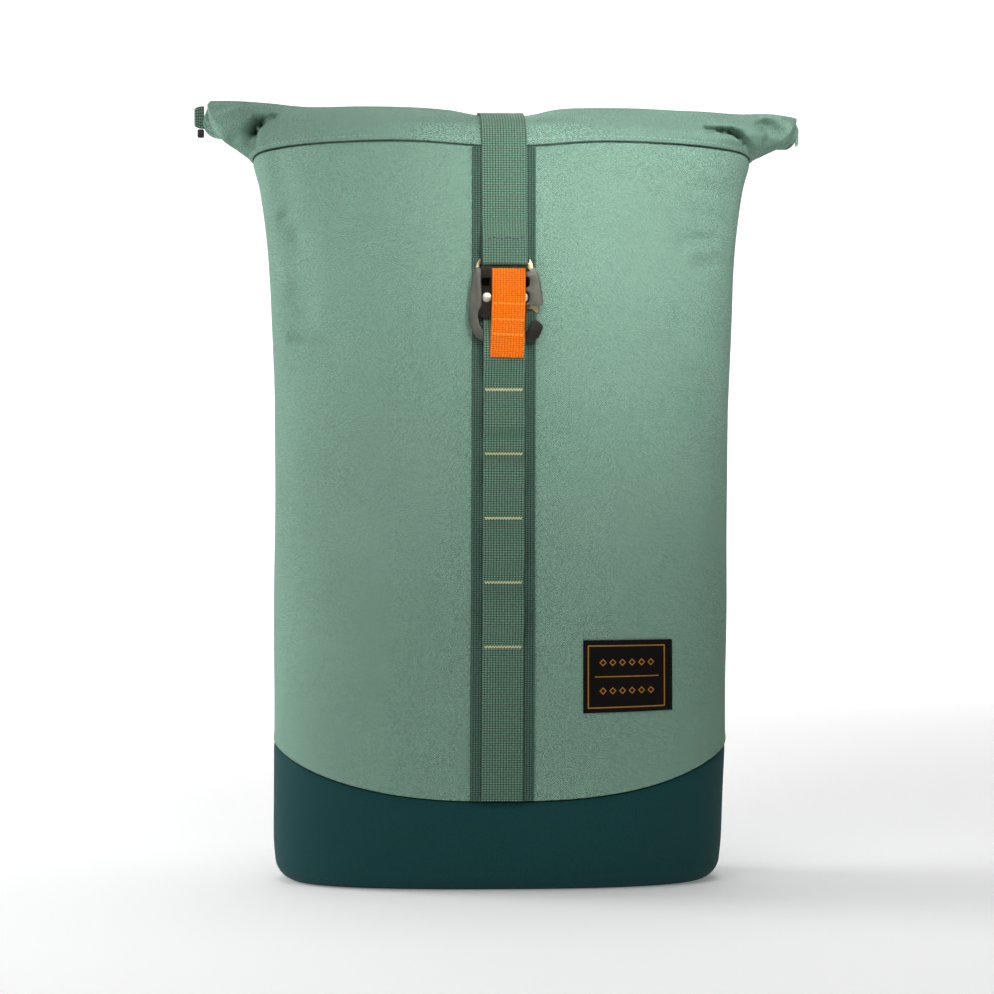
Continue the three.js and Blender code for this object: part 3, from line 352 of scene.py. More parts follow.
class Bag:
    """The bag's own surfaces, worked out from its sizes as the frame's are."""

    def __init__(self, sizes):
        self.half = sizes.body_width / 2
        self.deep = sizes.body_depth / 2
        self.seam = sizes.seam_height
        self.base = sizes.base_height
        self.rise = sizes.base_rise
        self.roll_half = sizes.roll_width / 2
        self.roll_mid = Vector((0, 2 * MM, sizes.roll_top - ROLL_HEIGHT / 2))
        steps = 720
        angle = [-math.pi / 2 + 2 * math.pi * i / steps for i in range(steps + 1)]
        ring = [self.point(a, 0.2) for a in angle]
        run = [0.0]
        for p, q in zip(ring, ring[1:]):
            run.append(run[-1] + (q - p).length)
        self.girth = run[-1]
        self.arc = list(zip(run, angle))

    def angle_at(self, share):
        """Angle at a share of the way round, from the middle of the back."""
        at = share * self.girth
        low, high = 0, len(self.arc) - 1
        while high - low > 1:
            mid = (low + high) // 2
            low, high = (mid, high) if self.arc[mid][0] <= at else (low, mid)
        (r0, a0), (r1, a1) = self.arc[low], self.arc[high]
        return a0 + (a1 - a0) * (at - r0) / (r1 - r0)

    def point(self, angle, z, inset=0.0):
        """Outer surface at an angle (0 left, 90 degrees front) and a height."""
        h = z / self.seam
        c, s = math.cos(angle), math.sin(angle)
        side = self.half * smooth(OUTLINE, LEFT if c > 0 else RIGHT, h) - inset
        deep = self.deep * smooth(OUTLINE, FRONT if s > 0 else BACK, h) - inset
        x = -math.copysign(side * abs(c) ** (2 / SECTION), c)
        y = -math.copysign(deep * abs(s) ** (2 / SECTION), s)
        if s > 0:
            for dx, dz, wide, tall, dent in DENTS:
                u = (x / self.half - dx) / wide
                v = (z - dz * self.seam) / (tall * self.deep)
                y += self.deep * dent * math.exp(-u * u - v * v) * s
        return Vector((x, y, z))

    def base_seam(self, angle):
        d = abs(math.sin(angle)) ** (2 / SECTION)
        return self.base + self.rise * (1 - d**1.8)

    def collar_seam(self, angle):
        s = math.sin(angle)
        pinch = SEAM_PINCH * math.exp(-((math.cos(angle) / 0.2) ** 2)) if s > 0 else 0.0
        return self.seam + SEAM_RISE * abs(s) ** (2 / SECTION * 0.7) - pinch

    def outward(self, p):
        """Level direction straight out of the bag at a point."""
        return Vector((p.x / self.half**2, p.y / self.deep**2, 0)).normalized()

    def cloth(self, angle, z):
        """Outer canvas with its soft creases and the small unevenness of filled cloth."""
        p = self.point(angle, z)
        s = math.sin(angle)
        if s > 0:
            p.y += crease_depth(CREASES, p.x, z) * min(1.0, s * 2.5)
        ripple = noise.noise(Vector((p.x * 22, p.y * 22 + 5, z * 16)))
        quiet = min(1.0, abs(p.x) / 0.06) if s > 0 else 0.6
        return p + self.outward(p) * (0.7 * MM * ripple * quiet)

    def normal(self, angle, z):
        along = self.cloth(angle + 0.02, z) - self.cloth(angle - 0.02, z)
        up = self.cloth(angle, z + 0.003) - self.cloth(angle, z - 0.003)
        return along.cross(up).normalized()

    def angle_of(self, x, z, face=1):
        """Angle of the front (1) or the back (-1) surface at an x and a height."""
        start = 0 if face > 0 else math.pi
        low, high = start + 0.01, start + math.pi - 0.01
        for _ in range(40):
            mid = (low + high) / 2
            low, high = (mid, high) if face * self.point(mid, z).x < face * x else (low, mid)
        return low

    def front(self, z, off):
        """Middle of the front at a height, off metres out from the canvas."""
        lean = -FRONT_LEAN * (self.seam - z) / (self.seam - self.base)
        return Vector((lean, self.point(math.pi / 2, z).y - off, z))

    def back_y(self, x, z):
        return self.point(self.angle_of(x, z, -1), z).y

    def roll_curve(self, turn, off, tall=1.0):
        """Point of the roll's spiral in its own y and z, off metres outward."""
        def spine(t):
            r = ROLL_HEIGHT / 2 - PAIR - ROLL_PITCH * (t - ROLL_START) / 360
            wide = r + (ROLL_DEPTH - ROLL_HEIGHT) / 2
            c, s = cos_sin(t)
            return Vector((0, -wide * c, r * tall * s))
        run = (spine(turn + 1) - spine(turn - 1)).normalized()
        return spine(turn) + Vector((0, -run.z, run.y)) * off + self.roll_mid

    def roll_share(self, index):
        """Place across the flattened collar and its layer (1 front, -1 back)."""
        count = 4 * len(ROLL_SHARES)
        half = count // 2

        def share(i):
            i %= count
            k = i if i < half else count - 1 - i
            return -ROLL_SHARES[k] if k < half // 2 else ROLL_SHARES[half - 1 - k]

        i, t = int(math.floor(index)) % count, index - math.floor(index)
        ends = (half - 1, count - 1)
        if i in ends:
            layer = 1 - 2 * t if i == ends[0] else 2 * t - 1
            return share(i), layer
        p0, p1, p2, p3 = share(i - 1), share(i), share(i + 1), share(i + 2)
        if i == 0 or i == half:
            p0 = 2 * p1 - p2
        if i + 1 == half - 1 or i + 1 == count - 1:
            p3 = 2 * p2 - p1
        return between(p0, p1, p2, p3, t), (1 if i < half else -1)

    def collar_ring(self, k, index):
        """Point of one of the collar's rings below the roll."""
        count = 4 * len(ROLL_SHARES)
        angle = (index + 0.5) * 2 * math.pi / count
        if k <= 0:
            return self.point(angle, self.collar_seam(angle) + GAP / 2 + 9 * MM * k)
        front, rise, turn, spread, rounded, side = COLLAR[k - 1]
        seam_front = self.point(math.pi / 2, self.collar_seam(0.35 * math.pi))
        seam_back = self.point(-math.pi / 2, self.collar_seam(-math.pi / 2))
        s, c = math.sin(angle), math.cos(angle)
        share = self.roll_share(index)[0] if k > 1 else -math.copysign(abs(c) ** 0.8, c)
        tall = smooth(ROLL_LINE, 3, share)
        start = self.roll_curve(ROLL_START, PAIR, tall)
        f = Vector((0, seam_front.y + (start.y - seam_front.y) * front,
                    seam_front.z + (start.z - seam_front.z) * rise))
        b = (Vector((0, seam_back.y * 0.5, self.roll_curve(-90, -PAIR, tall).z + GAP))
             if turn is None else self.roll_curve(turn, -PAIR, tall))
        seam_half = self.half * smooth(OUTLINE, LEFT if c > 0 else RIGHT, 1)
        half = seam_half + (self.roll_half - seam_half) * spread
        mid = f.lerp(b, 0.5)
        mid.z = self.seam + (mid.z - self.seam) * side
        p = mid.lerp(f if s > 0 else b, abs(s) ** rounded)
        settle = k / (len(COLLAR) + 1) * ROLL_HEIGHT
        return Vector((half * share + ROLL_SHIFT * spread,
                       p.y + smooth(ROLL_LINE, 2, share) * settle,
                       p.z + smooth(ROLL_LINE, 1, share) * settle))

    def roll_point(self, turn, index):
        """Point of the rolled part of the collar."""
        share, layer = self.roll_share(index)
        p = self.roll_curve(turn, PAIR * layer, smooth(ROLL_LINE, 3, share))
        c, s = cos_sin(turn)
        half = self.roll_half - ROLL_HEIGHT * (0.1 if s > 0 else 0.22) * s * s
        half += 0.09 * ROLL_HEIGHT * max(0.0, -c)
        fold = PAIR * 0.7 * math.sqrt(max(0.0, 1 - layer * layer))
        x = half * share + math.copysign(fold, share) + ROLL_SHIFT
        return Vector((x, p.y + smooth(ROLL_LINE, 2, share) * ROLL_HEIGHT,
                       p.z + smooth(ROLL_LINE, 1, share) * ROLL_HEIGHT))

    def collar(self, index, rows):
        """Point of the collar cloth: rows 0 to 5 below the roll, then degrees of turn."""
        steps = len(COLLAR) + 1
        if rows < steps:
            rings = [self.collar_ring(k, index) for k in range(-1, steps)]
            rings += [self.roll_point(ROLL_START + turn, index) for turn in (0, 22.5)]
            p = through(rings, rows + 1)
        else:
            p = self.roll_point(ROLL_START + (rows - steps), index)
        near = min(1.0, rows / 1.5)
        reach = min(max((0.022 - p.y) / 0.05, 0.0), 1.0)
        p.y += crease_depth(PLEATS, p.x, p.z) * reach * near
        ripple = noise.noise(Vector((p.x * 26, p.y * 12, p.z * 26 + 3)))
        p.z += 0.5 * MM * ripple * near
        p.y += 0.5 * MM * noise.noise(Vector((p.x * 30 + 9, 0.5, p.z * 30))) * near
        return p


def srgb(text):
    """Linear RGBA of an sRGB hex colour."""
    values = [int(text[i:i + 2], 16) / 255 for i in (1, 3, 5)]
    return (*[v / 12.92 if v <= 0.04045 else ((v + 0.055) / 1.055) ** 2.4 for v in values], 1.0)


def finish(obj, slot, *nodes, body="bag"):
    """Put a made piece on its body, in place of its nodes."""
    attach(obj, body)
    if nodes:
        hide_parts(*nodes)


def object_from(bm, name, material):
    """An object at the origin from a bmesh, shaded smooth."""
    mesh = bpy.data.meshes.new(name)
    for face in bm.faces:
        face.smooth = True
    bm.to_mesh(mesh)
    bm.free()
    mesh.materials.append(material)
    obj = bpy.data.objects.new(name, mesh)
    bpy.context.scene.collection.objects.link(obj)
    return obj


def measured(count, at):
    """Mean distance of each line of a grid from the first, measured on the laid cloth."""
    run = [0.0]
    for i in range(count):
        run.append(run[-1] + sum((at((i + 1) / count, k) - at(i / count, k)).length
                                 for k in PROBES) / len(PROBES))
    return run


def laid_cloth(name, material, columns, rows, place, closed=False, closer=None):
    """A grid of cloth laid by place(u, v). Its "cloth" map holds metres across and along,
    and its "edge" map the metres to the lower and to the upper edge."""
    def across(x):
        """Share of the way across of a column."""
        if closer is None:
            return x + 0.5
        i = next(k for k in range(1, len(closer)) if x + 0.5 <= closer[k][0] + 1e-6)
        (u0, s0), (u1, s1) = closer[i - 1], closer[i]
        return s0 + (s1 - s0) * (x + 0.5 - u0) / (u1 - u0)

    wide = measured(columns, lambda t, k: place(across(t - 0.5), k))
    long = measured(rows, lambda t, k: place(k, t))
    bm = bmesh.new()
    bmesh.ops.create_grid(bm, x_segments=columns, y_segments=rows, size=0.5)
    cloth = bm.loops.layers.uv.new("cloth")
    edge = bm.loops.layers.uv.new("edge")
    for face in bm.faces:
        for loop in face.loops:
            i = round((loop.vert.co.x + 0.5) * columns)
            k = round((loop.vert.co.y + 0.5) * rows)
            loop[cloth].uv = (wide[i], long[k])
            loop[edge].uv = (long[k], long[-1] - long[k])
    for vert in bm.verts:
        vert.co = place(across(vert.co.x), vert.co.y + 0.5)
    if closed:
        bmesh.ops.remove_doubles(bm, verts=bm.verts, dist=MERGE)
        bmesh.ops.recalc_face_normals(bm, faces=bm.faces)
    return object_from(bm, name, material)


def thicken(obj, wall, offset=-1.0):
    """Give a cloth its wall."""
    mod = obj.modifiers.new("wall", "SOLIDIFY")
    mod.thickness = wall
    mod.offset = offset
    mod.use_even_offset = False
    return obj


def even(points, step):
    """The same smooth line through points, at even steps."""
    dense = [through(points, i / 12) for i in range(12 * (len(points) - 1) + 1)]
    run = [0.0]
    for p, q in zip(dense, dense[1:]):
        run.append(run[-1] + (q - p).length)
    count = max(2, round(run[-1] / step))
    line, k = [], 0
    for i in range(count + 1):
        at = run[-1] * i / count
        while k < len(run) - 2 and run[k + 1] < at:
            k += 1
        line.append(dense[k].lerp(dense[k + 1], (at - run[k]) / max(run[k + 1] - run[k], 1e-9)))
    return line


def webbing(name, material, points, half, thick, step=1.5 * MM,
            across=lambda t: Vector((1, 0, 0))):
    """A flat woven band along a smooth line, its width along the across vector."""
    line = even(points, step)
    frames = []
    for i, p in enumerate(line):
        run = heading(line, i)
        side = across(i / (len(line) - 1))
        side = (side - run * side.dot(run)).normalized()
        frames.append((p, side, side.cross(run).normalized()))

    def place(u, v):
        p, side, out = frames[min(int(round(v * (len(frames) - 1))), len(frames) - 1)]
        w = 2 * u - 1
        thin = 0.12 * thick * w**8  # the selvedge is a little lower
        return p + side * (half * w) - out * thin

    obj = laid_cloth(name, material, 14, len(line) - 1, place)
    thicken(obj, thick, 0.0)
    bevel = obj.modifiers.new("edge", "BEVEL")
    bevel.width = thick * 0.3
    bevel.segments = 2
    bevel.limit_method = "ANGLE"
    bevel.angle_limit = math.radians(50)
    return obj, frames


def thread(bm, a, b, out, radius, lift):
    """One stitch: a short rounded bead of thread from a to b, standing lift radii out."""
    made = bmesh.ops.create_uvsphere(bm, u_segments=6, v_segments=5, radius=radius)
    run = b - a
    side = run.cross(out).normalized()
    up = side.cross(run).normalized()
    turn = Matrix((side, up, run.normalized())).transposed().to_4x4()
    stretch = Matrix.Diagonal((1, 0.8, max(run.length / 2 / radius, 1), 1))
    at = Matrix.Translation((a + b) / 2 + out * radius * lift)
    bmesh.ops.transform(bm, matrix=at @ turn @ stretch, verts=made["verts"])


def stitch_row(bm, path, pitch, radius, fill, lift):
    """Stitches along a path of (point, outward) pairs, each filling a share of the pitch."""
    run = 0.0
    start = path[0]
    for (p, out), (q, _) in zip(path, path[1:]):
        run += (q - p).length
        if run >= pitch:
            thread(bm, start[0], start[0].lerp(q, fill), out, radius, lift)
            start, run = (q, out), 0.0


def casting(name, material, shapes, y_front, y_back, bevel, rounded=False):
    """A cast or pressed plate drawn in x and z (mm), as a bevelled outline with its holes."""
    curve = bpy.data.curves.new(name, "CURVE")
    curve.dimensions = "2D"
    curve.fill_mode = "BOTH"
    for points in shapes:
        spline = curve.splines.new("BEZIER" if rounded else "POLY")
        drawn = spline.bezier_points if rounded else spline.points
        drawn.add(len(points) - 1)
        for dot, (x, z) in zip(drawn, points):
            if rounded:
                dot.co = (x * MM, z * MM, 0)
                dot.handle_left_type = dot.handle_right_type = "AUTO"
            else:
                dot.co = (x * MM, z * MM, 0, 1)
        spline.use_cyclic_u = True
        spline.resolution_u = 6
    curve.extrude = (y_back - y_front) / 2 - bevel
    curve.bevel_depth = bevel
    curve.bevel_resolution = 3
    curve.offset = -bevel
    loose = bpy.data.objects.new(name + "_drawn", curve)
    bpy.context.scene.collection.objects.link(loose)
    bpy.context.view_layer.update()
    mesh = bpy.data.meshes.new_from_object(loose)
    bpy.data.objects.remove(loose)
    bpy.data.curves.remove(curve)
    bm = bmesh.new()
    bm.from_mesh(mesh)
    bpy.data.meshes.remove(mesh)
    bmesh.ops.remove_doubles(bm, verts=bm.verts, dist=MERGE)
    middle = Matrix.Translation((0, (y_front + y_back) / 2, 0))
    stand = Matrix.Rotation(math.pi / 2, 4, "X")
    bmesh.ops.transform(bm, matrix=middle @ stand, verts=bm.verts)
    bmesh.ops.recalc_face_normals(bm, faces=bm.faces)
    obj = object_from(bm, name, material)
    obj.data.shade_smooth()
    mod = obj.modifiers.new("sharp", "EDGE_SPLIT")
    mod.split_angle = math.radians(45)
    return obj


# Materials

def node(tree, kind, inputs=(), to=None, **settings):
    """Add a shader node, set its properties, and set or link its inputs, which come by
    number or by name. A node given as an input is linked by its first output in use. The
    first output of the new node is linked to a socket, if one is given."""
    made = tree.nodes.new("ShaderNode" + kind)
    for key, value in settings.items():
        setattr(made, key, value)
    for key, value in inputs.items() if isinstance(inputs, dict) else enumerate(inputs):
        if isinstance(value, bpy.types.Node):
            value = next(out for out in value.outputs if out.enabled)
        if isinstance(value, bpy.types.NodeSocket):
            tree.links.new(value, made.inputs[key])
        else:
            made.inputs[key].default_value = value
    if to:
        tree.links.new(made.outputs[0], to)
    return made


def new_material(name, **sockets):
    """A material with its Principled shader's own sockets set, or the one already made."""
    mat = bpy.data.materials.get(name)
    if mat:
        return mat, None, None
    mat = bpy.data.materials.new(name)
    mat.use_nodes = True
    principled = mat.node_tree.nodes["Principled BSDF"]
    for key, value in sockets.items():
        principled.inputs[key.replace("_", " ")].default_value = value
    return mat, mat.node_tree, principled


def canvas_material(name, warp, weft, spacing, coat=0.0, seam_shade=(0.0, 0.0), heather=0.7,
                    sheen=0.04):
    """Plain-woven canvas of heathered yarn: matt, and speckled where each yarn changes its
    shade every few threads as it goes over and under. Painted shade darkens it towards its
    lower and its upper seam, where these reach in."""
    mat, tree, shader = new_material(
        name, Roughness=0.85, Specular_IOR_Level=0.12, Sheen_Weight=sheen,
        Sheen_Roughness=0.4, Coat_Weight=coat, Coat_Roughness=0.4)
    if tree is None:
        return mat
    uv = node(tree, "UVMap", uv_map="cloth")
    place = node(tree, "SeparateXYZ", [uv])
    wave = [node(tree, "Math", [
        node(tree, "Math", [place.outputs[k], math.pi / spacing], operation="MULTIPLY")],
        operation="SINE") for k in (0, 1)]
    sign = node(tree, "Math", wave, operation="MULTIPLY")
    over = node(tree, "Math", [sign, 0.0], operation="GREATER_THAN")
    # each yarn keeps a shade for about two threads of its length
    shades = []
    for scale in ((1 / spacing, 0.5 / spacing, 1), (0.5 / spacing, 1 / spacing, 1)):
        at = node(tree, "Mapping", {"Vector": uv, "Scale": scale})
        yarn = node(tree, "TexNoise", {"Vector": at, "Scale": 1.7, "Detail": 0.0})
        shades.append(node(tree, "MapRange", {
            "Value": yarn, "From Min": 0.28, "From Max": 0.72, "To Min": 1 - heather,
            "To Max": 1 + heather}))
    heathered = node(tree, "Mix", {"Factor": over, "A": shades[0], "B": shades[1]})
    obj = node(tree, "TexCoord").outputs["Object"]
    broad = node(tree, "TexNoise", {"Vector": obj, "Scale": 9.0, "Detail": 2.0})
    wide = node(tree, "MapRange", {
        "Value": broad, "From Min": 0.3, "From Max": 0.7, "To Min": 0.95, "To Max": 1.05})
    shade = node(tree, "Math", [heathered, wide], operation="MULTIPLY")
    edge = node(tree, "SeparateXYZ", [node(tree, "UVMap", uv_map="edge")])
    # painted shade: the colour darkens towards the lower and the upper edge, where the cloth
    # tucks into its seams
    for side, reach in zip((0, 1), seam_shade):
        if reach:
            dark = node(tree, "MapRange", {
                "Value": edge.outputs[side], "From Min": reach * 0.3, "From Max": reach,
                "To Min": 0.45, "To Max": 1.0})
            shade = node(tree, "Math", [shade, dark], operation="MULTIPLY")
    tint = node(tree, "Mix", {"Factor": over, "A": srgb(weft), "B": srgb(warp)},
                data_type="RGBA")
    node(tree, "VectorMath", [tint, shade], shader.inputs["Base Color"], operation="MULTIPLY")
    grain = node(tree, "TexNoise", {"Vector": uv, "Scale": 0.8 / spacing, "Detail": 1.0})
    round_yarn = node(tree, "Math", [sign], operation="ABSOLUTE")
    height = node(tree, "Math", [round_yarn, grain], operation="ADD")
    node(tree, "Bump", {"Height": height, "Strength": 0.6, "Distance": 0.25 * MM},
         shader.inputs["Normal"])
    return mat


def webbing_material(name, colour, rib=1.65, pick=1.45, dark=0.2, flat=0.12):
    """Woven polypropylene webbing: rounded lengthwise ribs with a faint sheen, crossed by
    fine picks, with painted shade in the gaps between them and a painted highlight on the
    crests. Flat picks leave the ribs to show."""
    mat, tree, shader = new_material(name, Roughness=0.6, Specular_IOR_Level=0.15)
    if tree is None:
        return mat
    uv = node(tree, "UVMap", uv_map="cloth")
    place = node(tree, "SeparateXYZ", [uv])
    ribs, picks = (node(tree, "Math", [node(tree, "Math", [node(
        tree, "Math", [place.outputs[k], math.pi / (step * MM)], operation="MULTIPLY")],
        operation="SINE")], operation="ABSOLUTE") for k, step in ((0, rib), (1, pick)))
    crossed = node(tree, "Math", [picks, 1 - flat, flat], operation="MULTIPLY_ADD")
    height = node(tree, "Math", [node(tree, "Math", [ribs, 0.6], operation="POWER"), crossed],
                  operation="MULTIPLY")
    base = srgb(colour)
    # painted shade and highlight: the colour runs from dark in the low gaps, by the share dark,
    # through the yarn's colour to paler than it on the crests of the ribs
    painted_rib_shading = node(tree, "ValToRGB", [height])
    painted_rib_shading.color_ramp.elements[0].color = (*[c * dark for c in base[:3]], 1.0)
    painted_rib_shading.color_ramp.elements[0].position = 0.1
    painted_rib_shading.color_ramp.elements[1].color = (*[min(1.0, c * 1.55 + 0.01) for c in base[:3]], 1.0)
    painted_rib_shading.color_ramp.elements.new(0.55).color = base
    fuzz = node(tree, "TexNoise", {"Vector": uv, "Scale": 900.0, "Detail": 1.0})
    speck = node(tree, "MapRange", {
        "Value": fuzz, "From Min": 0.3, "From Max": 0.7, "To Min": 0.82, "To Max": 1.18})
    node(tree, "VectorMath", [painted_rib_shading, speck], shader.inputs["Base Color"], operation="MULTIPLY")
    node(tree, "Bump", {"Height": height, "Strength": 0.8, "Distance": 0.4 * MM},
         shader.inputs["Normal"])
    return mat


def thread_material(name, colour):
    """Bonded polyester sewing thread: smooth, slightly shiny, finely twisted."""
    mat, tree, shader = new_material(name, Roughness=0.5, Specular_IOR_Level=0.25)
    if tree is None:
        return mat
    at = node(tree, "TexCoord").outputs["Object"]
    twist = node(tree, "TexNoise", {"Vector": at, "Scale": 2500.0})
    shade = node(tree, "MapRange", {"Value": twist, "To Min": 0.75, "To Max": 1.1})
    node(tree, "VectorMath", [shade, srgb(colour)[:3]], shader.inputs["Base Color"],
         operation="MULTIPLY")
    node(tree, "Bump", {"Height": twist, "Strength": 0.3, "Distance": 0.1 * MM},
         shader.inputs["Normal"])
    return mat


def sew(bm, name, slot, yarn, colour):
    """Finish a bmesh of stitches in a thread."""
    finish(object_from(bm, name, thread_material(yarn, colour)), slot)


def metal_material(name, colour, roughness, grit, edge_wear_and_highlight=None):
    """Cast or stamped metal: a fine blasted grain that breaks up the shine, and paler metal
    along its edges, partly rubbed wear and partly a painted edge highlight."""
    mat, tree, shader = new_material(name, Metallic=1.0, Roughness=roughness)
    if tree is None:
        return mat
    at = node(tree, "TexCoord").outputs["Object"]
    grain = node(tree, "TexNoise", {"Vector": at, "Scale": 1 / (grit * MM), "Detail": 3.0})
    smear = node(tree, "TexNoise", {"Vector": at, "Scale": 160.0, "Detail": 4.0})
    # paler along the edges: partly rubbed wear, partly a painted edge highlight
    edge_rub_and_highlight = node(tree, "MapRange", {
        "Value": node(tree, "NewGeometry").outputs["Pointiness"],
        "From Min": 0.51, "From Max": 0.58})
    scuff_and_highlight = node(tree, "Math", [edge_rub_and_highlight, smear], operation="MULTIPLY")
    mix = node(tree, "Mix", {"Factor": scuff_and_highlight, "A": srgb(colour), "B": srgb(edge_wear_and_highlight or colour)},
               data_type="RGBA")
    shade = node(tree, "MapRange", {"Value": grain, "To Min": 0.85, "To Max": 1.15})
    node(tree, "MapRange", {"Value": smear, "To Min": roughness - 0.08,
                            "To Max": roughness + 0.12}, shader.inputs["Roughness"])
    node(tree, "VectorMath", [mix, shade], shader.inputs["Base Color"], operation="MULTIPLY")
    node(tree, "Bump", {"Height": grain, "Strength": 0.25, "Distance": 0.1 * MM},
         shader.inputs["Normal"])
    return mat


def moulded_acetal():
    """Injection-moulded acetal: near black, satin, with the fine spark-eroded texture of
    its mould."""
    mat, tree, shader = new_material("moulded_acetal", Roughness=0.45, IOR=1.48)
    if tree is None:
        return mat
    at = node(tree, "TexCoord").outputs["Object"]
    grain = node(tree, "TexNoise", {"Vector": at, "Scale": 2200.0, "Detail": 2.0})
    shade = node(tree, "MapRange", {"Value": grain, "To Min": 0.6, "To Max": 1.4})
    node(tree, "VectorMath", [shade, srgb("#1E1E1D")[:3]], shader.inputs["Base Color"],
         operation="MULTIPLY")
    node(tree, "Bump", {"Height": grain, "Strength": 0.3, "Distance": 0.08 * MM},
         shader.inputs["Normal"])
    return mat


def label_material(ground, line, width, height):
    """Damask-woven polyester label: a fine satin ground with a border, a plain rule and
    rows of diamonds woven in a second yarn."""
    mat, tree, shader = new_material("woven_label", Roughness=0.8, Specular_IOR_Level=0.1)
    if tree is None:
        return mat
    uv = node(tree, "UVMap", uv_map="cloth")
    place = node(tree, "SeparateXYZ", [uv])
    # One line for each step of arithmetic: its name, its operation and its inputs. The border
    # runs 3 mm inside the edge, the rule along the middle, and a plain row of diamonds, 6 mm
    # apart, above it and one below. The satin's threads are 0.5 mm apart.
    made = {"u": place.outputs[0], "v": place.outputs[1]}
    for name, operation, *inputs in (
            ("from side", "SUBTRACT", "u", width / 2),
            ("x", "ABSOLUTE", "from side"),
            ("from end", "SUBTRACT", "v", height / 2),
            ("z", "ABSOLUTE", "from end"),
            ("past sides", "SUBTRACT", "x", width / 2 - 3.0 * MM),
            ("past ends", "SUBTRACT", "z", height / 2 - 3.0 * MM),
            ("frame", "MAXIMUM", "past sides", "past ends"),
            ("border", "COMPARE", "frame", 0.0, 0.35 * MM),
            ("middle", "LESS_THAN", "z", 0.3 * MM),
            ("rule span", "LESS_THAN", "x", width / 2 - 7 * MM),
            ("rule", "MULTIPLY", "middle", "rule span"),
            ("wrapped", "WRAP", "u", 3 * MM, -3 * MM),
            ("cell", "ABSOLUTE", "wrapped"),
            ("from row", "SUBTRACT", "z", 8.5 * MM),
            ("row", "ABSOLUTE", "from row"),
            ("reach", "ADD", "cell", "row"),
            ("diamonds", "COMPARE", "reach", 1.8 * MM, 0.42 * MM),
            ("row span", "LESS_THAN", "x", width / 2 - 9 * MM),
            ("motif", "MULTIPLY", "diamonds", "row span"),
            ("plain lines", "MAXIMUM", "border", "rule"),
            ("lines", "MAXIMUM", "plain lines", "motif"),
            ("across", "MULTIPLY", "u", math.pi / (0.5 * MM)),
            ("along", "MULTIPLY", "v", math.pi / (0.5 * MM)),
            ("warp", "SINE", "across"),
            ("weft", "SINE", "along"),
            ("crossed", "MULTIPLY", "warp", "weft"),
            ("weave", "ABSOLUTE", "crossed"),
            ("height", "ADD", "weave", "lines")):
        made[name] = node(tree, "Math", [made.get(value, value) for value in inputs],
                          operation=operation)
    mix = node(tree, "Mix", {"Factor": made["lines"], "A": srgb(ground), "B": srgb(line)},
               data_type="RGBA")
    # painted shade in the gaps between the satin's threads and a painted highlight on their
    # crossings
    shade = node(tree, "MapRange", {"Value": made["weave"], "To Min": 0.7, "To Max": 1.15})
    node(tree, "VectorMath", [mix, shade], shader.inputs["Base Color"], operation="MULTIPLY")
    node(tree, "Bump", {"Height": made["height"], "Strength": 0.4, "Distance": 0.2 * MM},
         shader.inputs["Normal"])
    return mat


# Operators

class ROLLTOP_OT_stage(bpy.types.Operator):
    """Floor, backdrop, soft lights and the camera."""

    bl_idname = "rolltop.stage"
    bl_label = "Stage"

    def execute(self, context):
        scene = context.scene
        bm = bmesh.new()
        bmesh.ops.create_grid(bm, x_segments=1, y_segments=60, size=0.5)
        for v in bm.verts:
            # a sheet that runs back and curves up behind the bag
            t = (v.co.y + 0.5) * SHEET_LENGTH
            turn = min(max(t - SHEET_FLAT, 0.0) / SHEET_BEND, 1.0) * math.pi / 2
            radius = SHEET_BEND / (math.pi / 2)
            y = min(t, SHEET_FLAT) + radius * math.sin(turn) + SHEET_FRONT
            z = radius * (1 - math.cos(turn)) + max(t - SHEET_FLAT - SHEET_BEND, 0.0)
            v.co = Vector((v.co.x * SHEET_WIDTH, y, z))
        # an opal sheet, faintly lit from behind so that the floor stays white
        mat, tree, shader = new_material("opal_backdrop", Roughness=0.9, Emission_Strength=0.18,
                                         Emission_Color=(1, 1, 1, 1))
        at = node(tree, "TexCoord").outputs["Object"]
        fibre = node(tree, "TexNoise", {"Vector": at, "Scale": 300.0})
        node(tree, "MapRange", {"Value": fibre, "To Min": 0.9, "To Max": 0.95},
             shader.inputs["Base Color"])
        floor = object_from(bm, "floor", mat)

        world = bpy.data.worlds.new("studio")
        world.use_nodes = True
        back = world.node_tree.nodes["Background"]
        back.inputs["Color"].default_value = (1, 1, 1, 1)
        back.inputs["Strength"].default_value = 0.05
        scene.world = world
        scene.view_settings.view_transform = "Standard"
        for name, at, aim, size, spread, power in LAMPS:
            light = bpy.data.lights.new(name, "AREA")
            light.shape = "RECTANGLE"
            light.size, light.size_y = size
            light.spread = math.radians(spread)
            light.energy = power
            lamp = bpy.data.objects.new(name, light)
            lamp.location = at
            sight = Vector(aim) - lamp.location
            lamp.rotation_euler = sight.to_track_quat("-Z", "Y").to_euler()
            scene.collection.objects.link(lamp)

        camera = bpy.data.objects.new("camera", bpy.data.cameras.new("camera"))
        camera.data.lens = LENS
        camera.data.sensor_width = 36
        c, s = cos_sin(AZIMUTH)
        back_vector = Vector((s, -c, 0))
        camera.location = Vector(TARGET) + back_vector * DISTANCE
        sight = Vector(TARGET) - camera.location
        camera.rotation_euler = sight.to_track_quat("-Z", "Y").to_euler()
        scene.collection.objects.link(camera)
        scene.camera = camera
        return {"FINISHED"}


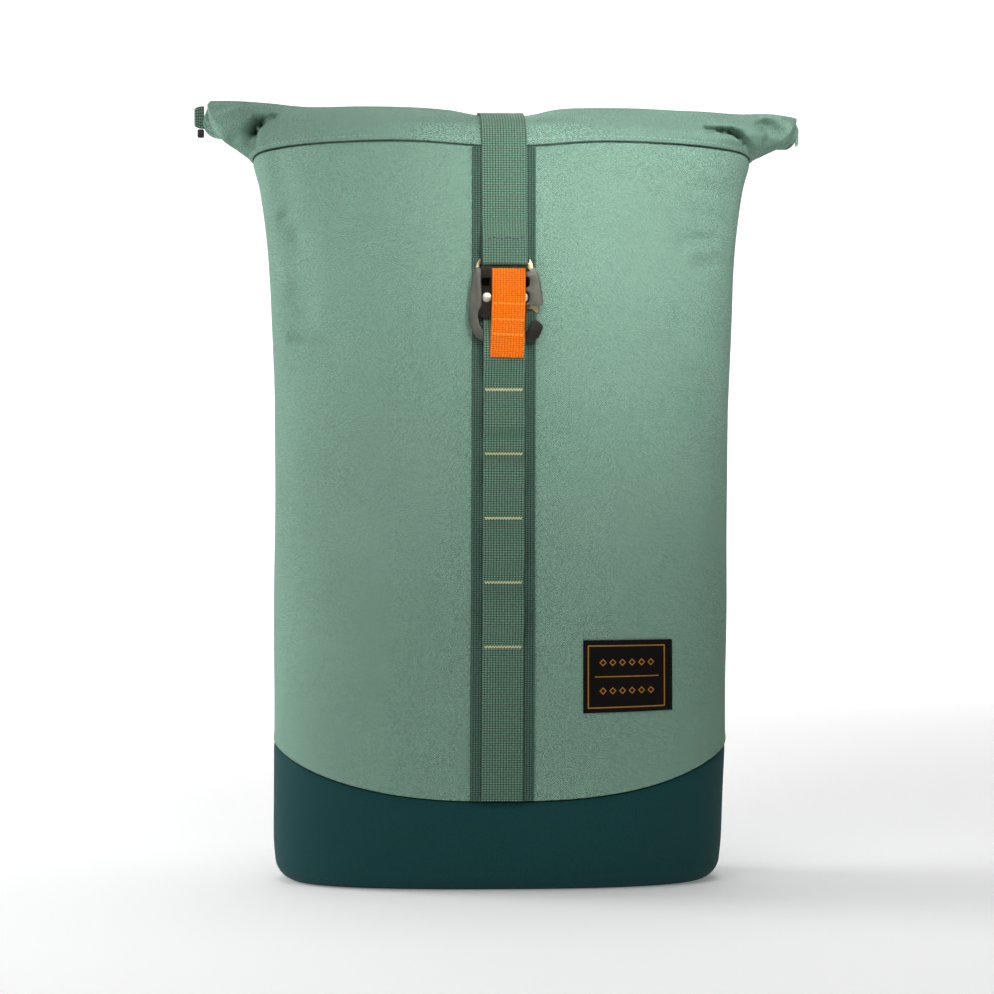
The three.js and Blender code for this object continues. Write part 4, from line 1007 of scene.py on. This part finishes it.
class ROLLTOP_OT_base(bpy.types.Operator):
    """Dark coated cloth cup under the bag, with its topstitched seam."""

    bl_idname = "rolltop.base"
    bl_label = "Base"

    def execute(self, context):
        bag = Bag(context.scene.rolltop_sizes)
        colours = context.scene.rolltop_colours
        corner = 13 * MM

        def place(u, v):
            a = bag.angle_at(u)
            if v < 0.2:
                p = bag.point(a, 0, corner)
                return Vector((p.x * v / 0.2, p.y * v / 0.2, 0))
            if v < 0.42:
                t = (v - 0.2) / 0.22 * math.pi / 2
                return bag.point(a, corner * (1 - math.cos(t)), corner * (1 - math.sin(t)))
            t = (v - 0.42) / 0.58
            top = bag.base_seam(a) - GAP / 2
            z = corner + (top - corner) * t
            p = bag.point(a, z)
            sag = noise.noise(Vector((p.x * 18, p.y * 18, z * 9 + 7)))
            tuck = math.exp(-((top - z) / (2.2 * MM)) ** 2)
            ease = min(1.0, t * 6)
            return p + bag.outward(p) * (0.8 * MM * sag * ease - 0.9 * MM * tuck)

        mat = canvas_material("coated_base_cloth", colours.base, "#164244",
                              context.scene.rolltop_sizes.thread_gap * 0.8, coat=0.06,
                              seam_shade=(0.0, 1.4 * MM), heather=0.25, sheen=0.02)
        obj = laid_cloth("base_cloth", mat, 220, 56, place, closed=True)
        finish(thicken(obj, 2.2 * MM), "dark_canvas", "base_shell")

        # tiny stitches on the green fold, just above the base seam
        bm = bmesh.new()
        path = []
        for i in range(721):
            a = bag.angle_at(i / 720)
            z = bag.base_seam(a) + 2.4 * MM
            path.append((bag.cloth(a, z), bag.normal(a, z)))
        stitch_row(bm, path, 2.4 * MM, 0.32 * MM, 0.6, 0.1)
        sew(bm, "base_seam_stitches", "sage_canvas", *SAGE_THREAD)
        return {"FINISHED"}


class ROLLTOP_OT_body(bpy.types.Operator):
    """Sage canvas tube between the base seam and the collar seam."""

    bl_idname = "rolltop.body"
    bl_label = "Body"

    def execute(self, context):
        bag = Bag(context.scene.rolltop_sizes)
        colours = context.scene.rolltop_colours

        def place(u, v):
            a = bag.angle_at(u)
            v = v - 0.62 * math.sin(2 * math.pi * v) / (2 * math.pi)
            low, high = bag.base_seam(a) + GAP / 2, bag.collar_seam(a) - GAP / 2
            z = low + (high - low) * v
            p = bag.cloth(a, z)
            # the upper edge is sewn under the collar, the lower edge lies over the base
            tuck = math.exp(-((high - z) / (1.1 * MM)) ** 2) * 0.7 * MM
            roll = math.exp(-((z - low - 1.4 * MM) / (2.0 * MM)) ** 2) * 0.4 * MM
            return p + bag.outward(p) * (roll - tuck)

        thread_gap = context.scene.rolltop_sizes.thread_gap
        mat = canvas_material("sage_canvas_weave", colours.canvas, "#709482", thread_gap,
                              seam_shade=(0.0, 1.0 * MM))
        obj = laid_cloth("body_cloth", mat, 260, 120, place, closed=True)
        finish(thicken(obj, 2.0 * MM), "sage_canvas", "body_panel")
        return {"FINISHED"}


class ROLLTOP_OT_collar(bpy.types.Operator):
    """Collar cloth, flattened and rolled backward, with its seam stitches."""

    bl_idname = "rolltop.collar"
    bl_label = "Collar"

    def execute(self, context):
        bag = Bag(context.scene.rolltop_sizes)
        colours = context.scene.rolltop_colours
        below, turned, steps = 62, 100, len(COLLAR) + 1
        count = 4 * len(ROLL_SHARES)
        share_below = below / (below + turned)

        def place(u, v):
            if v <= share_below:
                rows = steps * v / share_below
            else:
                rows = steps + 360 * ROLL_TURNS * (v - share_below) / (1 - share_below)
            p = bag.collar(u * count - 0.5, rows)
            if rows < 0.5:
                p += bag.outward(p) * 0.5 * MM * math.exp(-((rows - 0.16) / 0.12) ** 2)
            return p

        mat = canvas_material("collar_canvas_weave", colours.collar, "#6E9180",
                              context.scene.rolltop_sizes.thread_gap * 0.9,
                              seam_shade=(0.7 * MM, 0.0))
        obj = laid_cloth("collar_cloth", mat, count * 9, below + turned, place,
                         closed=True, closer=CLOSER)
        finish(thicken(obj, COLLAR_WALL), "collar_canvas", "collar_roll")

        bm = bmesh.new()
        path = []
        for i in range(701):
            index = i / 700 * count - 0.5
            p, q = bag.collar(index, 0.3), bag.collar(index, 0.36)
            side = bag.collar(index + 0.05, 0.3) - bag.collar(index - 0.05, 0.3)
            path.append((p, side.cross(q - p).normalized()))
        stitch_row(bm, path, 2.4 * MM, 0.28 * MM, 0.6, 0.3)
        sew(bm, "collar_stitches", "collar_canvas", *SAGE_THREAD)
        return {"FINISHED"}


class ROLLTOP_OT_front_webbing(bpy.types.Operator):
    """Backing webbing, the ladder of loops tacked to it, and their stitches."""

    bl_idname = "rolltop.front_webbing"
    bl_label = "Front webbing"

    def execute(self, context):
        bag = Bag(context.scene.rolltop_sizes)
        colours = context.scene.rolltop_colours
        low = bag.base_seam(math.pi / 2) + 0.45 * MM
        high = bag.collar_seam(math.pi / 2) - 0.45 * MM
        count = 40
        line = [bag.front(low + (high - low) * i / count, GAP + WEB / 2)
                for i in range(count + 1)]
        mat = webbing_material("backing_webbing_weave", colours.backing, 1.6, 1.3)
        obj, frames = webbing("backing_band", mat, line, 19 * MM, WEB)
        finish(obj, "dark_webbing", "backing_webbing")
        bm = bmesh.new()
        for side in (-1, 1):
            for k in range(1, len(frames) - 2, 2):
                (p, across, out), q = frames[k], frames[k + 1][0]
                if side < 0:
                    p, q = q, p
                face = out * (WEB / 2)
                thread(bm, p + across * side * 14.6 * MM - face,
                       q + across * side * 17.6 * MM - face, -out, 0.42 * MM, 0.4)
        sew(bm, "backing_stitches", "dark_webbing", "slanting_thread", "#7C9A8A")

        off = BACKING_FACE + GAP + WEB / 2
        tacks = [(147 + 38.2 * i) * MM for i in range(5)]
        tacks.append(tacks[-1] + 43.4 * MM)
        line = [bag.front(low + (tacks[0] - 5 * MM - low) * i / 8, off) for i in range(9)]
        for i, z in enumerate(tacks):
            line += [bag.front(z - 1.5 * MM, off), bag.front(z + 1.5 * MM, off)]
            if i == len(tacks) - 1:
                break
            bulge = TOP_LOOP_RISE if i == 4 else LOOP_RISE
            start, end = z + 1.5 * MM, tacks[i + 1] - 1.5 * MM
            flat, peak = LOOPS[i]
            for t in (0.06, 0.14, 0.22, 0.3, 0.38, 0.46, 0.56, 0.68, 0.8, 0.9, 0.96):
                if t < peak:
                    rise = min(max((t - flat) / (peak - flat), 0.0), 1.0)
                    share = 0.14 * min(t / 0.1, 1.0) + 0.86 * rise * rise * (3 - 2 * rise)
                else:
                    share = math.cos(math.pi / 2 * (t - peak) / (1 - peak)) ** 0.8
                line.append(bag.front(start + (end - start) * t, off + bulge * share))
        mat = webbing_material("ladder_webbing_weave", colours.webbing)
        obj, frames = webbing("ladder_band", mat, line, 12.5 * MM, WEB, step=0.9 * MM)
        finish(obj, "webbing", "ladder_webbing")

        # pale zigzag tacks hold the ladder down between its loops
        bm = bmesh.new()
        for z in tacks[:-1]:
            at = bag.front(z, off + WEB / 2)
            width, count = 22 * MM, 13
            for k in range(2 * count):
                x0, x1 = (-0.5 + (k + j) / (2 * count) for j in (0, 1))
                up = 0.9 * MM if k % 2 else -0.9 * MM
                a = at + Vector((x0 * width, 0, -up))
                b = at + Vector((x1 * width, 0, up))
                thread(bm, a, b, Vector((0, -1, 0)), 0.42 * MM, 0.5)
        sew(bm, "ladder_tacks", "webbing", "pale_tack_thread", colours.thread)
        bm = bmesh.new()
        for side in (-1, 1):
            path = [(p + across * side * 10.6 * MM - out * WEB / 2, -out)
                    for p, across, out in frames if p.z < tacks[0] - 4 * MM]
            stitch_row(bm, path, 2.7 * MM, 0.3 * MM, 0.62, 0.35)
        sew(bm, "ladder_stitches", "webbing", *WEBBING_THREAD)
        return {"FINISHED"}


class ROLLTOP_OT_closure(bpy.types.Operator):
    """Closure strap from the back, over the roll, round the buckle's bar."""

    bl_idname = "rolltop.closure"
    bl_label = "Closure strap"

    def execute(self, context):
        bag = Bag(context.scene.rolltop_sizes)
        colours = context.scene.rolltop_colours
        low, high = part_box("buckle_body")
        front, back, top = low[1], high[1], high[2]
        mid = STRAP_WEB / 2
        end_loop = 389 * MM
        back_top = bag.collar_seam(-math.pi / 2) - GAP / 2
        line = [Vector((0, bag.point(-math.pi / 2, z).y + GAP + mid, z))
                for z in (0.392, 0.405, 0.42, 0.435, back_top)]
        lift = Vector((0, smooth(ROLL_LINE, 2, 0), smooth(ROLL_LINE, 1, 0))) * ROLL_HEIGHT
        line.append(Vector((0, line[-1].y - 2 * MM, back_top + 6 * MM)))
        line += [bag.roll_curve(t, PAIR + 0.7 * MM + mid) + lift for t in (135, 112, 90, 68)]
        count = 4 * len(ROLL_SHARES)
        rows = [bag.collar(count / 4 - 0.5, k) for k in (5, 4, 3, 2, 1, 0.4)]
        for i, p in enumerate(rows):
            run = heading(rows, i)
            out = Vector((0, run.z, -run.y))
            off = BACKING_FACE + GAP if i == 5 else 0.9 * MM
            line.append(Vector((0, p.y, p.z)) + out * (off + mid))
        seam = bag.collar_seam(math.pi / 2)
        for z in (seam - 6 * MM, (seam + end_loop) / 2, end_loop + 12 * MM):
            line.append(bag.front(z, BACKING_FACE + GAP + mid))
            line[-1].x = 0
        y0, y1 = front - GAP - mid, back + GAP + mid
        bar = top - 3.9 * MM - GAP - mid
        line.append(Vector((0, y0, end_loop - 3 * MM)))
        line.append(Vector((0, y0, bar + 2 * MM)))
        for t in (60, 30, 0, -30, -60):
            c, s = cos_sin(t)
            line.append(Vector((0, (y0 + y1) / 2 - (y1 - y0) / 2 * s,
                                bar + 0.9 * MM * (1 - c))))
        line += [Vector((0, y1, bar + 2 * MM)), Vector((0, y1, end_loop - 5 * MM))]
        mat = webbing_material("strap_webbing_weave", colours.webbing, 1.65, 1.45, 0.26, 0.16)
        obj, frames = webbing("closure_band", mat, line, 13.5 * MM, STRAP_WEB, step=1.2 * MM)
        finish(obj, "webbing", "closure_strap")

        # one dark row across, where the buckle's loop is sewn shut
        bm = bmesh.new()
        for k in range(9):
            x = (-10 + 2.35 * k) * MM
            z = end_loop + 0.2 * MM + 0.35 * MM * math.sin(k * 1.7)
            at = min(frames, key=lambda f: abs(f[0].z - z) + abs(f[0].y - y0) * 2)[0]
            a = Vector((x, at.y - mid, z))
            thread(bm, a, a + Vector((1.9 * MM, 0, 0.25 * MM)), Vector((0, -1, 0)),
                   0.4 * MM, 0.1)
        sew(bm, "closure_stitches", "webbing", "dark_thread", "#2B4D44")
        return {"FINISHED"}


class ROLLTOP_OT_buckle(bpy.types.Operator):
    """Hook buckle: anodised frame, centre plate, levers and rivets, and the pull tab."""

    bl_idname = "rolltop.buckle"
    bl_label = "Hook buckle"

    def execute(self, context):
        colours = context.scene.rolltop_colours
        low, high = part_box("buckle_body")
        front, back = low[1], high[1]
        dark = metal_material("anodised_casting", "#504F49", 0.42, 0.1, "#B5B3A6")
        black = metal_material("blackened_casting", "#22201E", 0.5, 0.1, "#6E6B62")
        # the frame: its left arm, the hook under the tab, the right cheek, the bar that the
        # strap goes round and the plate with its two windows
        arm = [(-14.9, 372.4), (-16.3, 372.4), (-18.4, 369.8), (-20.1, 362), (-21.4, 351.5),
               (-21.7, 345), (-20.7, 338), (-18.4, 333), (-15.4, 329.6), (-12, 328.5),
               (-6, 328.5), (-6, 334), (-12.6, 335.6), (-14.9, 339.5), (-15.6, 343.2),
               (-15.2, 346.4), (-13.8, 349), (-13.4, 356), (-14, 364)]
        hook = [(-9, 328.7), (17.4, 328.7), (19.8, 330.8), (21.4, 333.6), (22.6, 336.4),
                (22.3, 338.2), (20, 340.3), (17.8, 341.3), (15.8, 340.8), (14.8, 338.2),
                (13.8, 335.2), (12.4, 334), (-9, 334)]
        cheek = [(12.2, 349.8), (21.2, 349.6), (22.4, 350.2), (22.7, 351.6), (22.1, 356),
                 (21.1, 362), (19.8, 368), (18.2, 370.9), (17, 372.3), (15.5, 371.2),
                 (14.4, 369.9), (12.4, 369.5), (12.4, 366.9), (14.0, 366.4), (14.8, 365),
                 (14.8, 362.2), (14.0, 360.8), (12.6, 360.3), (12.6, 358.6), (13.8, 357.6),
                 (14.5, 355.8), (14.5, 353.2), (13.8, 351.6), (12.6, 351)]
        bar = [(-14.6, 375), (14.6, 375), (14.6, 378.6), (-14.6, 378.6)]
        # on the left the plate reaches down to 343 mm, a black sheet over the slot that stands
        # in for the shadow there
        centre = [(-15, 343), (-4, 343), (-4, 348.4), (14.8, 348.4), (15.8, 360), (15.8, 369.6),
                  (12.6, 373.2), (-13.4, 373.2), (-15, 371), (-15, 360)]
        windows = [[(x + side * a, 363.6 + b) for a, b in (
            (-2.6, -1.2), (-1.6, -2.4), (2.2, -2.5), (2.2, 2.5), (-1.6, 2.4), (-2.6, 1.2))]
            for side, x in ((1, -11.4), (-1, 11.6))]
        # painted shadow: a near-black sheet behind the plate and its windows stands for the
        # shade inside the buckle
        painted_shadow_metal = metal_material("buckle_painted_shadow", "#0B0A0A", 0.7, 0.1)
        floor = [(x * 0.985, z) for x, z in centre]
        # name, metal, outlines, y of its front and back, bevel (mm), replaced node
        for name, mat, shapes, y0, y1, bevel, *nodes in (
                ("arm", dark, [arm], front, back, 0.95, "buckle_body"),
                ("hook", black, [hook], front + 0.1 * MM, back, 0.7),
                ("cheek", dark, [cheek], front + 0.1 * MM, back, 0.5),
                ("bar", black, [bar], front + 0.5 * MM, back - 0.2 * MM, 0.6),
                ("plate", black, [centre, *windows], front + 0.9 * MM, front + 2.1 * MM, 0.35),
                ("floor", painted_shadow_metal, [floor], front + 2.0 * MM, back, 0.3)):
            obj = casting(f"buckle_{name}", mat, shapes, y0, y1, bevel * MM,
                          rounded=name == "arm")
            finish(obj, "black_metal", *nodes)

        gold = metal_material("passivated_steel", "#F0D9A4", 0.3, 0.2, "#F1E2B8")
        for side, name in ((-1, "left"), (1, "right")):
            lo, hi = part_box(f"lever_{name}")
            x0, z0 = side * 10.8, 354.5
            wide = 1.7 if side < 0 else 3.2
            ear = [(-3.2, 1.5), (-1.6, 8), (1.4, 15.2)]
            ear += [(6.2 - wide, 18.2), (5.0 - wide, 21.4), (2.4, 23.8), (4.4, 22.9),
                    (5.7, 20.6), (6.5, 17.8), (5.4, 13.2), (4.0, 2)]
            foot = ([(3.4, -1.5), (0.9, -3.4), (-3.2, -3.2)] if side < 0 else
                    [(6.5, -2.5), (9.4, -4.8), (9.2, -8.8), (7.6, -8.6), (5.6, -6.6),
                     (2.2, -6.0), (-0.5, -5.4), (-3.4, -3)])
            points = [(x0 + side * x, z0 + z) for x, z in ear + foot]
            obj = casting(f"lever_{name}_plate", gold, [points], lo[1], hi[1], 0.3 * MM)
            finish(obj, "gold_metal", f"lever_{name}", body=f"lever_{name}")

        steel = metal_material("stamped_rivet_steel", "#B9B4A6", 0.38, 0.15, "#DEDBD0")
        for name in ("left", "right"):
            lo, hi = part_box(f"rivet_{name}")
            x, z = (lo[0] + hi[0]) / 2, (lo[2] + hi[2]) / 2
            head = front + 1.1 * MM - 0.75 * MM
            bm = bmesh.new()
            profile = [(0, 0), (2.2, 0.04), (2.75, 0.25), (3.0, 0.8), (1.4, 0.85), (1.4, 3.4),
                       (1.35, hi[1] / MM - head / MM - 0.1), (0, hi[1] / MM - head / MM)]
            verts = [bm.verts.new((r * MM, 0, d * MM)) for r, d in profile]
            for a, b in zip(verts, verts[1:]):
                bm.edges.new((a, b))
            bmesh.ops.spin(bm, geom=bm.verts[:] + bm.edges[:], cent=(0, 0, 0), axis=(0, 0, 1),
                           angle=2 * math.pi, steps=32, use_merge=True)
            bmesh.ops.remove_doubles(bm, verts=bm.verts, dist=MERGE)
            bmesh.ops.recalc_face_normals(bm, faces=bm.faces)
            turn = Matrix.Translation((x, head, z)) @ Matrix.Rotation(-math.pi / 2, 4, "X")
            bmesh.ops.transform(bm, matrix=turn, verts=bm.verts)
            obj = object_from(bm, f"rivet_{name}_head", steel)
            finish(obj, "rivet_metal", f"rivet_{name}")

        lo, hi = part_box("pull_tab")
        mid = 0.75 * MM
        top, bottom = hi[2], lo[2]
        near, far = front - 1.5 * MM - mid, lo[1] + mid
        line = [Vector((2 * MM, near + 0.7 * MM, top)), Vector((2 * MM, near, top - 2.5 * MM)),
                Vector((2 * MM, near, 0.3645)), Vector((2 * MM, near - 0.1 * MM, 0.3545)),
                Vector((1.6 * MM, (near + far) / 2 - 0.6 * MM, 0.3415)),
                Vector((1.2 * MM, far + 0.2 * MM, 0.3325)),
                Vector((0.9 * MM, far, 0.326)), Vector((0.6 * MM, far + 0.2 * MM, bottom))]
        mat = webbing_material("orange_tab_weave", colours.tab, 1.7, 1.25, 0.62)
        obj, frames = webbing("tab_band", mat, line, 10 * MM, 1.5 * MM, step=0.9 * MM)
        finish(obj, "orange_webbing", "pull_tab")
        bm = bmesh.new()
        for z in (350.6, 341.1, 331.7):
            at, across, out = min(frames, key=lambda f: abs(f[0].z - z * MM))
            for k in range(7):
                a = at + across * (-9.2 + 2.65 * k) * MM - out * mid
                thread(bm, a, a + across * 2.5 * MM, -out, 0.45 * MM, 0.4)
        sew(bm, "tab_stitches", "orange_webbing", "orange_thread", "#FF9B2E")
        return {"FINISHED"}


class ROLLTOP_OT_label(bpy.types.Operator):
    """Woven label with a plain generic pattern, sewn near the lower right."""

    bl_idname = "rolltop.label"
    bl_label = "Label"

    def execute(self, context):
        bag = Bag(context.scene.rolltop_sizes)
        colours = context.scene.rolltop_colours
        width, height = 54 * MM, 43 * MM

        def place(u, v):
            x = 74 * MM + width * (u - 0.5)
            z = 129 * MM + height * (v - 0.5) + 1.2 * MM * (u - 0.5) * (1 - v)
            a = bag.angle_of(x, z)
            return bag.cloth(a, z) + bag.normal(a, z) * (0.95 * MM)

        mat = label_material(colours.label, colours.label_line, width, height)
        obj = laid_cloth("label_cloth", mat, 40, 30, place)
        thicken(obj, 0.8 * MM)
        finish(obj, "label_cloth", "label_patch")
        bm = bmesh.new()
        inset = 1.2 * MM
        u0, v0 = inset / width, inset / height
        corners = [Vector(c) for c in (
            (u0, v0), (1 - u0, v0), (1 - u0, 1 - v0), (u0, 1 - v0), (u0, v0))]
        ring = [a.lerp(b, i / count) for a, b, count in zip(
            corners, corners[1:], (80, 64, 80, 64)) for i in range(count)]
        path = []
        for spot in (*ring, corners[0]):
            p = place(*spot)
            a = bag.angle_of(p.x, p.z)
            path.append((p, bag.normal(a, p.z)))
        stitch_row(bm, path, 2.2 * MM, 0.26 * MM, 0.6, 0.2)
        sew(bm, "label_stitches", "label_cloth", "black_thread", "#0E0D0C")
        return {"FINISHED"}


class ROLLTOP_OT_roll_ends(bpy.types.Operator):
    """Webbing tabs and the small snap at the ends of the roll."""

    bl_idname = "rolltop.roll_ends"
    bl_label = "Roll ends"

    def execute(self, context):
        colours = context.scene.rolltop_colours
        mat = webbing_material("tab_webbing_weave", colours.webbing, 1.9, 1.15)
        pale = webbing_material("pale_tab_weave", "#93B3A2", 1.9, 1.15, 0.7)
        for node_name, name, shade in (("roll_tab_left", "end_tab_left", mat),
                                       ("roll_tab_right", "end_tab_right", pale)):
            lo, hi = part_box(node_name)
            side = -1 if hi[0] < 0 else 1
            root = hi[0] if side < 0 else lo[0]
            reach = (hi[0] - lo[0]) * 0.97
            _, mid_y, mid_z = (Vector(lo) + Vector(hi)) / 2
            _, thick, half_z = (Vector(hi) - Vector(lo)) / 2
            # the tab is a loop of webbing folded back on itself
            line = []
            for t in range(-90, 91, 15):
                c, s = cos_sin(t)
                line.append(Vector((root + side * (reach - 0.5 * MM) * c**0.7,
                                    mid_y + (thick - 0.45 * MM) * s, mid_z)))
            obj, _ = webbing(name, shade, line, half_z * 0.98, 0.9 * MM, step=0.5 * MM,
                             across=lambda _: Vector((0, 0, 1)))
            for v in obj.data.vertices:
                far = min(abs(v.co.x - root) / reach, 1.0)
                v.co.z = mid_z + (v.co.z - mid_z) * (1 - 0.3 * far**3)
            finish(obj, "webbing", node_name)
        lo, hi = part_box("roll_snap_left")
        bm = bmesh.new()
        made = bmesh.ops.create_cube(bm, size=1)
        size = Vector(hi) - Vector(lo)
        centre = (Vector(hi) + Vector(lo)) / 2
        bmesh.ops.transform(bm, matrix=Matrix.Translation(centre) @ Matrix.Diagonal(
            (size.x, size.y, size.z, 1)), verts=made["verts"])
        bmesh.ops.bevel(bm, geom=bm.edges[:], offset=1.1 * MM, segments=4, profile=0.5,
                        affect="EDGES", material=-1)
        finish(object_from(bm, "end_snap", moulded_acetal()), "black_plastic",
               "roll_snap_left")
        return {"FINISHED"}


class ROLLTOP_OT_harness(bpy.types.Operator):
    """Padded shoulder straps, adjusters, lower webbing and the grab handle."""

    bl_idname = "rolltop.harness"
    bl_label = "Harness"

    def execute(self, context):
        bag = Bag(context.scene.rolltop_sizes)
        colours = context.scene.rolltop_colours
        pad_cloth = canvas_material("strap_pad_canvas", "#5B8070", "#4F7263",
                                    context.scene.rolltop_sizes.thread_gap)
        tape = webbing_material("binding_tape_weave", "#3F5C50", 1.1, 0.9)
        web = webbing_material("lower_webbing_weave", colours.webbing)
        plastic = moulded_acetal()
        for side, name in ((-1, "left"), (1, "right")):
            seat = bag.back_y(side * PAD_X, PAD_TOP) + GAP + 3 * MM + 0.6 * MM
            spine, sizes = [], []
            for i in range(PAD_ROWS + 1):
                at = i / PAD_ROWS
                off, out, wide, thick = (smooth(PAD_LINE, c, at) for c in (1, 2, 3, 4))
                spine.append(Vector((side * (PAD_X + PAD_OUT * out), seat + PAD_OFF * off,
                                     PAD_TOP - PAD_DROP * at)))
                sizes.append((PAD_HALF * wide, PAD_THICK * thick))
            frames = []
            for i, p in enumerate(spine):
                run = heading(spine, i)
                across = (Vector((1, 0, 0)) - run * run.x).normalized()
                frames.append((p, across, across.cross(run).normalized(), *sizes[i], run))

            def place(u, v, frames=frames):
                p, across, out, half, thick, _ = frames[round(v * PAD_ROWS)]
                a = 2 * math.pi * u
                c, s = math.cos(a), math.sin(a)
                end = min(v, 1 - v) * PAD_ROWS
                close = math.sqrt(1 - (1 - min(end / 1.5, 1)) ** 2)
                crown = abs(s) ** 0.75
                # two sewn channels run down the pad
                x = math.copysign(abs(c) ** 0.5, c) if abs(c) > 1e-9 else 0.0
                channel = math.exp(-(((abs(x) - 0.5) * half) / (1.6 * MM)) ** 2) * 0.16
                t = thick * math.copysign(crown * (1 - channel) * close, s)
                return p + across * (half * 0.97 * x * (0.9 + 0.1 * close)) + out * t

            obj = laid_cloth(f"shoulder_pad_{name}", pad_cloth, 56, PAD_ROWS, place,
                             closed=True)
            finish(obj, "dark_webbing", f"shoulder_strap_{name}")
            for k, edge in enumerate((1, -1)):
                points = [f[0] + f[1] * edge * f[3] * 0.97 for f in frames[1:-1:3]]
                tube, _ = webbing(f"pad_binding_{name}_{k}", tape, points,
                                  3.4 * MM, 1.4 * MM, step=2 * MM,
                                  across=lambda t, f=frames: f[int(t * PAD_ROWS)][2])
                finish(tube, "dark_webbing")
            bm = bmesh.new()
            for x in (-0.5, 0.5):
                for face in (-1, 1):
                    path = [(f[0] + f[1] * f[3] * 0.97 * x + f[2] * face * f[4] * 0.79,
                             f[2] * face) for f in frames[2:-2]]
                    stitch_row(bm, path, 3.4 * MM, 0.32 * MM, 0.65, 0.2)
            sew(bm, f"pad_stitches_{name}", "dark_webbing", *WEBBING_THREAD)

            # adjuster
            end, across, out, _, _, run = frames[-1]
            origin = end + run * GAP
            basis = Matrix((across, -run, across.cross(-run))).transposed().to_4x4()
            basis.translation = origin
            half = 17.5
            slot = 13.5
            shapes = [[(-half, -2), (2 - half, 0), (half - 2, 0), (half, -2),
                       (half - 1, -24), (half - 3, -26), (3 - half, -26), (1 - half, -24)],
                      [(-slot, -22), (slot, -22), (slot, -15), (-slot, -15)],
                      [(-slot, -11), (slot, -11), (slot, -4), (-slot, -4)]]
            lock = casting(f"adjuster_{name}", plastic, shapes, -2.2 * MM, 2.2 * MM, 0.8 * MM)
            lock.data.transform(basis @ Matrix.Rotation(-math.pi / 2, 4, "X"))
            finish(lock, "black_plastic", f"ladder_lock_{name}")

            # lower webbing
            toward = -1 if out.y > 0 else 1
            clear = 2.25 * MM + GAP + WEB / 2

            def local(down, off, origin=origin, run=run, out=out):
                return origin + run * down * MM + out * off

            x = side * 0.108
            anchor = [Vector((x, bag.back_y(x, z) + GAP + 0.5 * MM + WEB / 2, z))
                      for z in (0.084, 0.098)]
            tail = local(30, -toward * clear)
            line = [anchor[0], anchor[1], local(34, toward * clear), local(27, toward * clear),
                    local(23, toward * clear)]
            for t in (60, 20, -20, -60):
                c, s = cos_sin(t)
                line.append(local(20.9 + 0.5 * (1 - c), toward * clear * s / 0.9))
            line += [local(23, -toward * clear), tail,
                     tail + Vector((side * 1 * MM, 0.6 * MM, -18 * MM)),
                     tail + Vector((side * 2 * MM, 1 * MM, -35 * MM)),
                     tail + Vector((side * 4 * MM, -1 * MM, -70 * MM))]
            slope = bag.back_y(x + 1 * MM, 0.09) - bag.back_y(x - 1 * MM, 0.09)
            lay = Vector((2 * MM, slope, 0))
            obj, _ = webbing(f"lower_band_{name}", web, line, 12.5 * MM, WEB,
                             across=lambda t, a=across, b=lay.normalized():
                             b.lerp(a, min(1.0, t * 4)))
            finish(obj, "webbing", f"strap_web_{name}")

        # grab handle
        line = []
        for i in range(41):
            t = i / 40
            x = HANDLE_LENGTH * (t - 0.5)
            rise = max(0.0, math.sin(math.pi * min(max((t - 0.1) / 0.8, 0), 1))) ** 0.8
            seat = max(bag.back_y(x, HANDLE_TOP), bag.back_y(x, HANDLE_TOP - 12.5 * MM))
            line.append(Vector((x, seat + GAP + 1.6 * MM + 0.03 * rise, HANDLE_TOP)))
        mat = webbing_material("handle_webbing_weave", colours.backing)
        obj, frames = webbing("handle_band", mat, line, 12.5 * MM, 2.4 * MM,
                              across=lambda _: Vector((0, 0, 1)))
        finish(obj, "dark_webbing", "grab_handle")
        bm = bmesh.new()
        last = len(frames) - 1
        for at in (3, last - 3):
            for k in range(12):
                p, across, out = frames[at]
                face = 1 if out.y > 0 else -1
                a = p + across * (-11 + 1.9 * k) * MM + out * face * 1.2 * MM
                thread(bm, a, a + across * 1.7 * MM, out * face, 0.4 * MM, 0.3)
        sew(bm, "handle_stitches", "dark_webbing", *WEBBING_THREAD)
        return {"FINISHED"}


class ROLLTOP_PT_sidebar(bpy.types.Panel):
    """Lists the pieces of the backpack."""

    bl_label = "Rolltop backpack"
    bl_idname = "ROLLTOP_PT_sidebar"
    bl_space_type = "VIEW_3D"
    bl_region_type = "UI"
    bl_category = "Backpack"

    def draw(self, context):
        layout = self.layout
        for group in (context.scene.rolltop_sizes, context.scene.rolltop_colours):
            box = layout.box()
            for key in group.__annotations__:
                box.prop(group, key)
        for operator in OPERATORS:
            layout.operator(operator.bl_idname)


OPERATORS = (
    ROLLTOP_OT_stage,
    ROLLTOP_OT_base,
    ROLLTOP_OT_body,
    ROLLTOP_OT_collar,
    ROLLTOP_OT_front_webbing,
    ROLLTOP_OT_closure,
    ROLLTOP_OT_buckle,
    ROLLTOP_OT_label,
    ROLLTOP_OT_roll_ends,
    ROLLTOP_OT_harness,
)
CLASSES = (RolltopSizes, RolltopColours, *OPERATORS, ROLLTOP_PT_sidebar)


def register():
    for cls in CLASSES:
        bpy.utils.register_class(cls)
    bpy.types.Scene.rolltop_sizes = bpy.props.PointerProperty(type=RolltopSizes)
    bpy.types.Scene.rolltop_colours = bpy.props.PointerProperty(type=RolltopColours)


def unregister():
    del bpy.types.Scene.rolltop_colours
    del bpy.types.Scene.rolltop_sizes
    for cls in reversed(CLASSES):
        bpy.utils.unregister_class(cls)


def main():
    register()
    for operator in OPERATORS:
        group, name = operator.bl_idname.split(".")
        getattr(getattr(bpy.ops, group), name)()
    bpy.context.view_layer.update()


if __name__ == "__main__":
    main()
